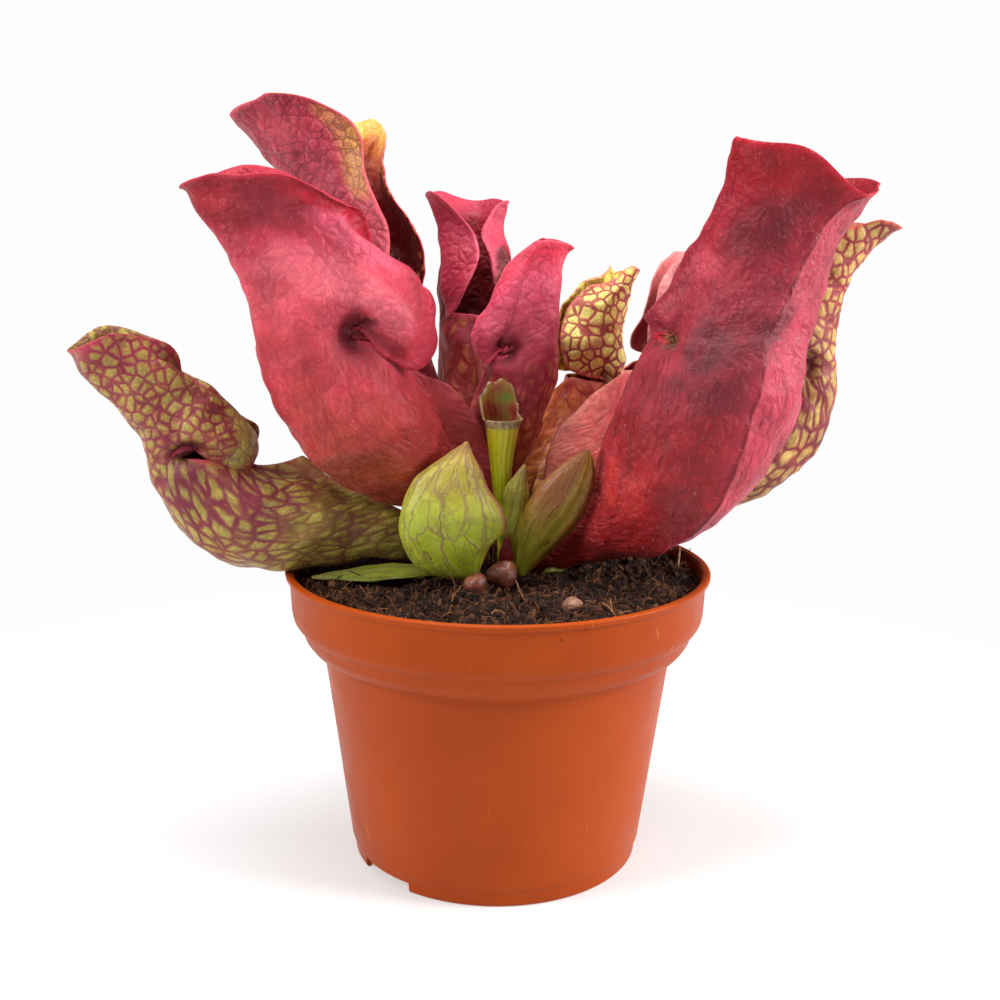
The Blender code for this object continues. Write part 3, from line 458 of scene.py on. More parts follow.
def hood_grid(form, levels, crease):
    """Rows across the hood, from one free edge round the back to the other. Level 0 is the mouth."""
    back, shoulder, edge = (smooth(form[key], levels) for key in ("hood_back", "shoulder", "hood_edge"))
    width, bulge, turn = (smooth(form[key], levels)[:, 0]
                          for key in ("hood_half_width", "ear_bulge", "hood_turn"))
    edge_side = smooth([crease[1], *form["edge_side"]], levels)[:, 0]
    fading = np.clip(1 - np.asarray(levels) / 0.22, 0, 1)[:, None] ** 2
    settle = fading * (crease[[0, 2]] - np.array(form["shoulder"][0]))
    shoulder, edge = shoulder + settle, edge + settle
    middle = (back[:, 0] + shoulder[:, 0]) / 2
    mouth_middle = (form["tube_back"][-1][0] + form["tube_front"][-1][0]) / 2
    middle += (mouth_middle - middle[0]) * np.clip(1 - np.asarray(levels) / 0.4, 0, 1) ** 2
    top = np.clip((np.asarray(levels) - 0.72) / 0.28, 0, 1)
    cut_back = EAR_CUT_BACK * (1 - np.sqrt(1 - top**2))
    share = np.linspace(-1, 1, NECK)
    opening = CREASE + (math.radians(92) - CREASE) * np.asarray(levels)
    rows = []
    for k in range(len(levels)):
        s = (1 - cut_back[k]) * np.arange(1, FLANGE + 1) / FLANGE
        angle = share * opening[k]
        along = (1 - np.cos(angle)) / (1 - math.cos(opening[k]))
        plane = back[k] + along[:, None] * (shoulder[k] - back[k])
        neck = np.column_stack([plane[:, 0], width[k] * np.sin(angle), plane[:, 1]])
        span = np.linalg.norm(edge[k] - shoulder[k])
        ahead = (shoulder[k] - back[k]) / np.linalg.norm(shoulder[k] - back[k])
        pull = shoulder[k] + ahead * 0.5 * span
        near, between, far = (1 - s) ** 2, 2 * s * (1 - s), s**2
        flange = np.outer(near, shoulder[k]) + np.outer(between, pull) + np.outer(far, edge[k])
        start = width[k] * math.sin(opening[k])
        out = near * start + between * (start + bulge[k]) + far * edge_side[k]
        right = np.column_stack([flange[:, 0], out, flange[:, 1]])
        row = np.vstack([(right * [1, -1, 1])[::-1], neck, right])
        rows.append(twisted(row, middle[k], turn[k]))
    return np.array(rows)


def run_length(grid, axis, zero=None):
    """Length along the rows or columns of a grid, in mm, from its start or from the column given."""
    steps = np.linalg.norm(np.diff(grid, axis=axis), axis=2)
    total = np.concatenate([np.zeros_like(steps.take([0], axis)), np.cumsum(steps, axis=axis)], axis=axis)
    return total if zero is None else total - total[:, [zero]]


def join(tube_values, hood_values):
    """The values of the tube's points, then those of the hood's."""
    return np.concatenate([tube_values.ravel(), hood_values.ravel()])


def sheet_of(form, wing):
    """One skin as vertices and faces, closed below and open at the mouth, with stored values."""
    tube_levels = np.linspace(0, 1, TUBE_ROWS)
    tube = tube_grid(form, tube_levels, wing)
    columns = tube.shape[1]
    first = WING + LIP
    neck = np.arange(first, first + NECK)
    hood_levels = np.linspace(0, 1, HOOD_ROWS + 1) ** 1.25
    top_angle = ring_angles()[LIP + NECK - 1]
    back, front = np.array(form["tube_back"][-1]), np.array(form["tube_front"][-1])
    corner = (back + front) / 2 + math.cos(top_angle) * (back - front) / 2
    crease = np.array([corner[0], form["tube_half_width"][-1] * math.sin(top_angle), corner[1]])
    hood = hood_grid(form, hood_levels, crease)[1:]
    across = hood.shape[1]
    back_tube, back_hood = first + NECK // 2, FLANGE + NECK // 2
    tube_u, tube_v = run_length(tube, 1, back_tube), run_length(tube, 0)
    hood_u, hood_v = run_length(hood, 1, back_hood), run_length(hood, 0)
    mouth_v = tube_v[-1][neck]
    hood_v += np.concatenate([np.full(FLANGE, mouth_v[0]), mouth_v, np.full(FLANGE, mouth_v[-1])])
    c_tube = np.concatenate([np.full(WING, -WING_ANGLE), ring_angles(), np.full(WING, WING_ANGLE)])
    c_neck = np.linspace(-1, 1, NECK) * CREASE
    c_left = -CREASE - np.arange(FLANGE, 0, -1) * EAR_STEP
    c_right = CREASE + np.arange(1, FLANGE + 1) * EAR_STEP
    c_hood = np.concatenate([c_left, c_neck, c_right])
    tube_c, hood_c = np.tile(c_tube, (TUBE_ROWS, 1)), np.tile(c_hood, (HOOD_ROWS, 1))
    rim = np.full((TUBE_ROWS, columns), FAR)
    lips = np.r_[0:first, first + NECK : columns]
    rim[:, lips] = np.minimum(FAR, tube_v[-1][lips] - tube_v[:, lips])
    ear_edge = np.minimum(hood_u - hood_u[:, [0]], hood_u[:, [-1]] - hood_u)
    rim_hood = np.minimum(ear_edge, hood_v[-1] - hood_v)
    keel = np.zeros((TUBE_ROWS, columns))
    keel[:, :WING] = np.linspace(1, 0, WING)
    keel[:, -WING:] = np.linspace(0, 1, WING)
    along_tube = np.tile((tube_levels * MOUTH)[:, None], (1, columns))
    along_hood = np.tile((MOUTH + hood_levels[1:] * (1 - MOUTH))[:, None], (1, across))
    values = {
        "u": join(tube_u, hood_u),
        "v": join(tube_v, hood_v),
        "c": join(tube_c, hood_c),
        "rim": join(rim, rim_hood),
        "keel": join(keel, np.zeros_like(hood_u)),
        "along": join(along_tube, along_hood),
    }
    grid = np.arange(TUBE_ROWS * columns).reshape(TUBE_ROWS, columns)
    faces = [list(range(columns))[::-1]]
    after = np.roll(grid, -1, axis=1)
    faces += np.stack([grid[:-1], after[:-1], after[1:], grid[1:]], -1).reshape(-1, 4).tolist()
    below = [grid[-1][neck[0]]] * FLANGE + list(grid[-1][neck]) + [grid[-1][neck[-1]]] * FLANGE
    for i in range(HOOD_ROWS):
        start = grid.size + i * across
        row = list(range(start, start + across))
        for j in range(across - 1):
            corners = [below[j], below[j + 1], row[j + 1], row[j]]
            faces.append([int(c) for n, c in enumerate(corners) if c not in corners[:n]])
        below = row
    return np.vstack([tube.reshape(-1, 3), hood.reshape(-1, 3)]), faces, values


print("rows", TUBE_ROWS + HOOD_ROWS, "columns", 2 * (WING + LIP) + NECK)


# %% [markdown]
# The living leaf is not smooth. Its wall is about a millimetre thick, gently lumpy, drawn in at the corners
# of the mouth, rolled outwards and a little thinner along the free margin and ribbed by veins that all
# start at the base. These are added as displacements in millimetres, so that the outline keeps them too.

# %% Pitcher body
MOUTH_CORNER = 0.605
RIB_HEIGHT, FINE_LUMP, EDGE_WAVE, WING_WAVE = 0.12, 0.22, 0.5, 0.5


def bell(value, width):
    """A smooth hump: 1 at zero, and nearly nothing two widths away."""
    return np.exp(-((value / width) ** 2))


def spot_at(values, column, level, reach):
    """Which points lie at an angle round the leaf and a level up it."""
    return (np.abs(values["along"] - level) < 0.012) & (np.abs(values["c"] - column) < reach)


def relief(form, points, normals, values, look):
    """Displacement in mm of every point of a leaf skin, as vectors."""
    ribs = np.cos(values["c"] * 9 + 0.25 * ripple(points, 30, 5)) * bell(values["along"] - 0.3, 0.28)
    out = look.get("lump", 0.5) * ripple(points, 16, look["seed"])
    out = out + FINE_LUMP * ripple(points, 6.5, look["seed"] + 1)
    out += RIB_HEIGHT * ribs
    free = values["rim"] < 30
    out += np.where(free, look.get("roll", 0.45) * bell(values["rim"], 1.4), 0.0)
    pull = smooth(form["tube_half_width"], [1.0])[0, 0] * 0.24
    for side in (-1, 1):
        corner = spot_at(values, side * CREASE, MOUTH_CORNER, 0.12)
        if corner.any():
            distance = np.linalg.norm(points - points[corner].mean(axis=0), axis=1)
            out -= look.get("dimple", 1.0) * pull * bell(distance, pull * 1.5)
    if "knob" in look:
        column, level, height, size = look["knob"]
        for side in (-1, 1):
            spot = spot_at(values, side * column, level, 0.09)
            if spot.any():
                out += height * bell(np.linalg.norm(points - points[spot].mean(axis=0), axis=1), size)
    ridge = look.get("ridge")
    if ridge:
        out += ridge[1] * bell(values["c"] - ridge[0], 0.07) * np.clip(values["along"] * 5 - 0.5, 0, 1)
        rising = np.clip(values["along"] * 4 - 0.8, 0, 1)
        out += 0.55 * ridge[1] * bell(values["c"] - ridge[0], 0.3) * rising
    fold = look.get("fold")
    if fold:
        out -= fold[1] * bell(values["along"] - fold[0], 0.035) * bell(values["c"] + 0.3, 1.3)
    wave = np.where(values["along"] > 0.62, bell(values["rim"], 7.0), 0.0)
    out += EDGE_WAVE * wave * ripple(points, 12, look["seed"] + 3)
    return normals * out[:, None]


def twice(numbers):
    """Values for the outside's points and again for the inside's."""
    return np.concatenate([numbers, numbers])


def pitcher_body(form, look):
    """Vertices, faces and stored values of a whole hollow leaf, in its own plane."""
    outer, outer_faces, values = sheet_of(form, True)
    plain, plain_faces, _ = sheet_of(form, False)
    plain_normals = point_normals(plain, plain_faces)
    moved = relief(form, plain, plain_normals, values, look)
    keel = values["keel"][:, None]
    sway, none = WING_WAVE * ripple(outer, 14, look["seed"] + 7), np.zeros(len(outer))
    wing_wave = np.column_stack([none, sway, none])
    shape = outer + moved * (1 - keel) + wing_wave * keel
    thick = WALL * (0.65 + 0.5 * np.clip(values["rim"] / 12, 0, 1))
    inner = plain + moved - plain_normals * thick[:, None]
    count, columns = len(outer), 2 * (WING + LIP) + NECK
    solid_rows = TUBE_ROWS // 5
    kept = [f for f in plain_faces if min(f) >= solid_rows * columns]
    kept.append(list(range(solid_rows * columns, (solid_rows + 1) * columns))[::-1])
    edges = {(a, b) for face in outer_faces for a, b in zip(face, face[1:] + face[:1])}
    faces = outer_faces + [[count + v for v in face[::-1]] for face in kept]
    faces += [[b, a, count + a, count + b] for a, b in edges if (b, a) not in edges]
    mouth = values["v"][values["along"] <= MOUTH].max()
    vein_v = np.where(values["v"] < mouth, 0.6 * values["v"], 0.6 * mouth + values["v"] - mouth)
    inside = np.concatenate([np.zeros(count), np.ones(count)])
    # Painted shade: a dark patch round each mouth corner, stored for the skin's shader.
    hollow = np.zeros(count)
    for side in (-1, 1):
        corner = spot_at(values, side * CREASE, MOUTH_CORNER, 0.12)
        reach = look.get("pit_shade_size", 0.45 * form["tube_half_width"][-1])
        hollow += bell(np.linalg.norm(plain - plain[corner].mean(axis=0), axis=1), reach)
    stored = {
        "leaf_uv": np.column_stack([twice(values["u"]), twice(vein_v), inside]),
        "leaf_place": np.column_stack([twice(values[key]) for key in ("along", "rim", "keel")]),
        "leaf_column": twice(values["c"]),
        "leaf_pit_shade": twice(hollow),
    }
    return np.vstack([shape, inner]), faces, stored


def placed(vertices, leaf, pushes=()):
    """Turns a leaf drawn in its own plane to where it grows."""
    r, side, z = np.array(vertices).T
    z = z + leaf.get("tilt", 0.0) * side * np.clip((z - 90) / 60, 0, 1)
    turn = math.radians(leaf["azimuth"])
    x = r * math.cos(turn) - side * math.sin(turn) + leaf["base"][0]
    y = r * math.sin(turn) + side * math.cos(turn) + leaf["base"][1]
    for (at_x, at_z), reach, (shift_x, shift_z) in pushes:
        near = np.exp(-((x - at_x) ** 2 + (z - at_z) ** 2) / (1.4 * reach) ** 2)
        x, z = x + near * shift_x, z + near * shift_z
    return np.column_stack([x, y, z])


print("body functions ready")


# %% [markdown]
# The skin is green leaf tissue stained by red sap. The stain is strongest along the veins, which form long
# ribs on the tube and a net on the hood, and weakest in the cells between them. Most leaves here are so
# ripe that the red covers everything. Younger ones still show yellow-green cells. Veins are Voronoi cell
# borders on the skin's own millimetre grid, bent by noise. A fine down dulls the surface, so it is rough
# with a little sheen. Painted shade darkens the mouth corners and soft patches all over the skin.

# %% Pitcher skin
# Heights in metres: the cells between veins stand up a little, and grain and down are finer.
QUILT_HEIGHT, GRAIN_HEIGHT, DOWN_HEIGHT = 0.00022, 0.0004, 0.00012


def skin(name, look):
    """The finish of one pitcher's skin, outside and in."""
    tree, shader, made = new_material(name)
    place = add(tree, "ShaderNodeAttribute", attribute_name="leaf_place").outputs[1]
    place = add(tree, "ShaderNodeSeparateXYZ", {0: place})
    grid = add(tree, "ShaderNodeAttribute", attribute_name="leaf_uv").outputs[1]
    grid = add(tree, "ShaderNodeSeparateXYZ", {0: grid})
    column = add(tree, "ShaderNodeAttribute", attribute_name="leaf_column").outputs[2]
    where = add(tree, "ShaderNodeTexCoord").outputs["Object"]
    along, rim, keel = place.outputs
    u, v, inside = grid.outputs
    drift = add(tree, "ShaderNodeTexNoise", {"Vector": where, "Scale": 130.0, "Detail": 3.0}).outputs[1]
    bend = add(tree, "ShaderNodeSeparateColor", {0: drift})
    bent_u = maths(tree, "MULTIPLY_ADD", bend.outputs[0], 2.2)
    bent_u.node.inputs[2].default_value = -1.1
    bent_v = maths(tree, "MULTIPLY_ADD", bend.outputs[1], 2.2)
    bent_v.node.inputs[2].default_value = -1.1
    u, v = maths(tree, "ADD", u, bent_u), maths(tree, "ADD", v, bent_v)
    skin_at = add(tree, "ShaderNodeCombineXYZ", {0: u, 1: v}).outputs[0]

    half = (0.5, 0.5, 0.5)
    warp = add(tree, "ShaderNodeVectorMath", {0: drift, 1: half}, operation="SUBTRACT").outputs[0]
    warp = add(tree, "ShaderNodeVectorMath", {0: warp, 3: 0.0022}, operation="SCALE").outputs[0]
    bent_at = add(tree, "ShaderNodeVectorMath", {0: where, 1: warp}).outputs[0]
    upper = spread(tree, along, 0.5, 0.62)

    def borders(at, scale):
        inputs = {"Vector": at, "Scale": scale}
        return add(tree, "ShaderNodeTexVoronoi", inputs, feature="DISTANCE_TO_EDGE").outputs[0]

    def net(cell, thin, wide):
        """Veins round cells of a size in mm: in skin millimetres on the tube, in space on the hood."""
        lower_cells, upper_cells = borders(skin_at, 1 / cell), borders(bent_at, 1000 / cell)
        depth = add(tree, "ShaderNodeMix", {0: upper, 2: lower_cells, 3: upper_cells}).outputs[0]
        return spread(tree, depth, thin, wide, 1.0, 0.0), depth

    coarse, cell_depth = net(look.get("cell", 4.6), 0.015, look.get("vein_width", 0.11))
    fine, _ = net(look.get("cell", 4.6) * 0.38, 0.01, 0.18)
    rib = maths(tree, "ADD", maths(tree, "MULTIPLY", column, 2.4), bend.outputs[2])
    rib = spread(tree, maths(tree, "PINGPONG", rib, 0.5), 0.01, 0.085, 1.0, 0.0)
    tube = spread(tree, along, 0.45, 0.62, 1.0, 0.0)
    cloud = noise(tree, where, 45.0, 4.0)
    shadow = spread(tree, noise(tree, where, 75.0, 5.0, 0.65), 0.3, 0.7, look.get("deep", 0.7), 1.12)
    mottle = noise(tree, where, 240.0, 4.0, 0.6)

    climb = maths(tree, "ADD", along, maths(tree, "MULTIPLY", maths(tree, "SUBTRACT", cloud, 0.5), 0.28))
    colour = ramp(tree, climb, look["ground"])
    # Painted light and shade: past a given angle round the leaf the colour turns darker or lighter, as if
    # that side were shaded or lit.
    if "side_shading" in look:
        side_shading_colour, at, width = look["side_shading"]
        uneven = maths(tree, "ADD", column, maths(tree, "MULTIPLY", cloud, 0.8))
        colour = mix(tree, spread(tree, uneven, at, at + width), colour, srgb(side_shading_colour))

    def apart(value, middle, reach):
        """The squared distance from a middle, as a share of a reach."""
        share = maths(tree, "DIVIDE", maths(tree, "SUBTRACT", value, middle), reach)
        return maths(tree, "POWER", share, 2.0)

    def stained_and_shaded(colour, stains_and_shading):
        """Soft oval blotches, real stains or painted light and shade: angle and level of the middle, half
        width, half height, colour, amount.
        """
        for at_column, at_level, wide, tall, blotch_colour, amount in stains_and_shading:
            across, up = apart(column, at_column, wide), apart(climb, at_level, tall)
            near = spread(tree, maths(tree, "ADD", across, up), 0.0, 1.0, amount, 0.0)
            colour = mix(tree, near, colour, srgb(blotch_colour))
        return colour

    colour = stained_and_shaded(colour, look.get("stains_and_shading", ()))
    light = spread(tree, mottle, 0.42, 0.72)
    colour = mix(tree, maths(tree, "MULTIPLY", light, look.get("mottle", 0.25)), colour, srgb(look["pale"]))
    if "cells" in look:
        cell_colour, amount, start, end = look["cells"][:4]
        inner = spread(tree, cell_depth, *look.get("cell_edge", (0.1, 0.3)))
        patch = spread(tree, noise(tree, where, 70.0, 2.0), 0.3, 0.5, look.get("patch", 0.2), 1.0)
        here = maths(tree, "MULTIPLY", inner, patch)
        here = maths(tree, "MULTIPLY", spread(tree, climb, start, end), here)
        for top in look["cells"][4:]:
            here = maths(tree, "MULTIPLY", here, spread(tree, along, top, top + 0.03, 1.0, 0.0))
        colour = mix(tree, maths(tree, "MULTIPLY", here, amount), colour, srgb(cell_colour))
    veins, fines, ribs = look.get("veins", (0.4, 0.25, 0.5))
    coarse, fine = maths(tree, "MULTIPLY", coarse, veins), maths(tree, "MULTIPLY", fine, fines)
    rib = maths(tree, "MULTIPLY", maths(tree, "MULTIPLY", rib, tube), ribs)
    strength = maths(tree, "MAXIMUM", maths(tree, "MAXIMUM", coarse, fine), rib)
    fade = spread(tree, noise(tree, where, 95.0, 3.0), 0.3, 0.6, 0.45, 1.0)
    colour = mix(tree, maths(tree, "MULTIPLY", strength, fade), colour, srgb(look["vein"]))
    wing_colour = mix(tree, mottle, srgb(look["wing"]), srgb(look["pale"]))
    colour = mix(tree, maths(tree, "MULTIPLY", keel, 0.75), colour, wing_colour)
    if "line" in look:
        line_column, line_colour = look["line"]
        wavering = maths(tree, "ADD", column, maths(tree, "MULTIPLY", bend.outputs[2], 0.06))
        off = maths(tree, "ABSOLUTE", maths(tree, "SUBTRACT", wavering, line_column + 0.03))
        colour = mix(tree, spread(tree, off, 0.006, 0.04, 0.85, 0.0), colour, srgb(line_colour))
    shadow = add(tree, "ShaderNodeCombineColor", {0: shadow, 1: shadow, 2: shadow}).outputs[0]
    colour = mix(tree, 1.0, colour, shadow, "MULTIPLY")
    # Painted shade in the mouth corners: the skin turns towards a dark colour where the stored patch is
    # strong.
    pit = add(tree, "ShaderNodeAttribute", attribute_name="leaf_pit_shade").outputs[2]
    colour = mix(tree, maths(tree, "MULTIPLY", pit, 0.85), colour, srgb(look.get("pit", "4a0a16")))
    rim_edge = spread(tree, rim, 0.3, look.get("rim_width", 2.2), look.get("rim_amount", 0.8), 0.0)
    colour = mix(tree, rim_edge, colour, srgb(look["rim"]))
    colour = stained_and_shaded(colour, look.get("late_blotches", ()))
    inner_colour = ramp(tree, climb, look["inner"])
    inner_vein = srgb(look.get("inner_vein", look["vein"]))
    inner_colour = mix(tree, maths(tree, "MULTIPLY", strength, 0.6), inner_colour, inner_vein)
    if "inner_cells" in look:
        spot_colour, amount, reach = look["inner_cells"]
        near = spread(tree, rim, reach * 0.6, reach, 1.0, 0.0)
        near = maths(tree, "MULTIPLY", near, spread(tree, cell_depth, 0.12, 0.3))
        inner_colour = mix(tree, maths(tree, "MULTIPLY", near, amount), inner_colour, srgb(spot_colour))
    colour = mix(tree, inside, colour, inner_colour)
    tree.links.new(colour, shader.inputs["Base Color"])

    dull = spread(tree, mottle, 0.2, 0.8, look.get("rough", 0.5) - 0.08, look.get("rough", 0.5) + 0.1)
    tree.links.new(dull, shader.inputs["Roughness"])
    shader.inputs["Specular IOR Level"].default_value = 0.38
    shader.inputs["Sheen Weight"].default_value = look.get("sheen", 0.1)
    shader.inputs["Sheen Roughness"].default_value = 0.45
    shader.inputs["Sheen Tint"].default_value = srgb("ffd9d6")
    shader.inputs["Subsurface Weight"].default_value = 0.12
    shader.inputs["Subsurface Radius"].default_value = (0.0022, 0.0008, 0.0006)
    shader.inputs["Subsurface Scale"].default_value = 1.0
    shader.inputs["IOR"].default_value = 1.42
    grain = look.get("grain", 1.0)
    normal = bump(tree, spread(tree, cell_depth, 0.0, 0.35), QUILT_HEIGHT)
    normal = bump(tree, noise(tree, where, 420.0, 4.0), GRAIN_HEIGHT * grain, normal=normal)
    normal = bump(tree, noise(tree, where, 2600.0, 2.0), DOWN_HEIGHT * grain, normal=normal)
    tree.links.new(normal, shader.inputs["Normal"])
    return made


print("skin function ready")


# %% [markdown]
# Every leaf has its own colours. The ground runs from the base (0) over the mouth (0.6) to the top of the
# hood (1), and takes light flecks in pale. Cells are green or yellow windows between the veins, with their
# amount and the two levels between which they come in. Stains and shading are blotches at an angle round
# the leaf and a level up it. Some are the leaf's own colour, but the near-black ones at the mouth corners
# and the dark ones along the neck fold are painted shade, and the light pink ones on the large pink leaf's
# hood are painted highlights. Late blotches lie over the margin too. Side shading paints one side of a leaf
# darker or lighter as if shaded or lit, and pit shade is the colour of the painted shade in the mouth
# corners. Lump, roll, dimple, knob, ridge and fold shape the wall, in millimetres.

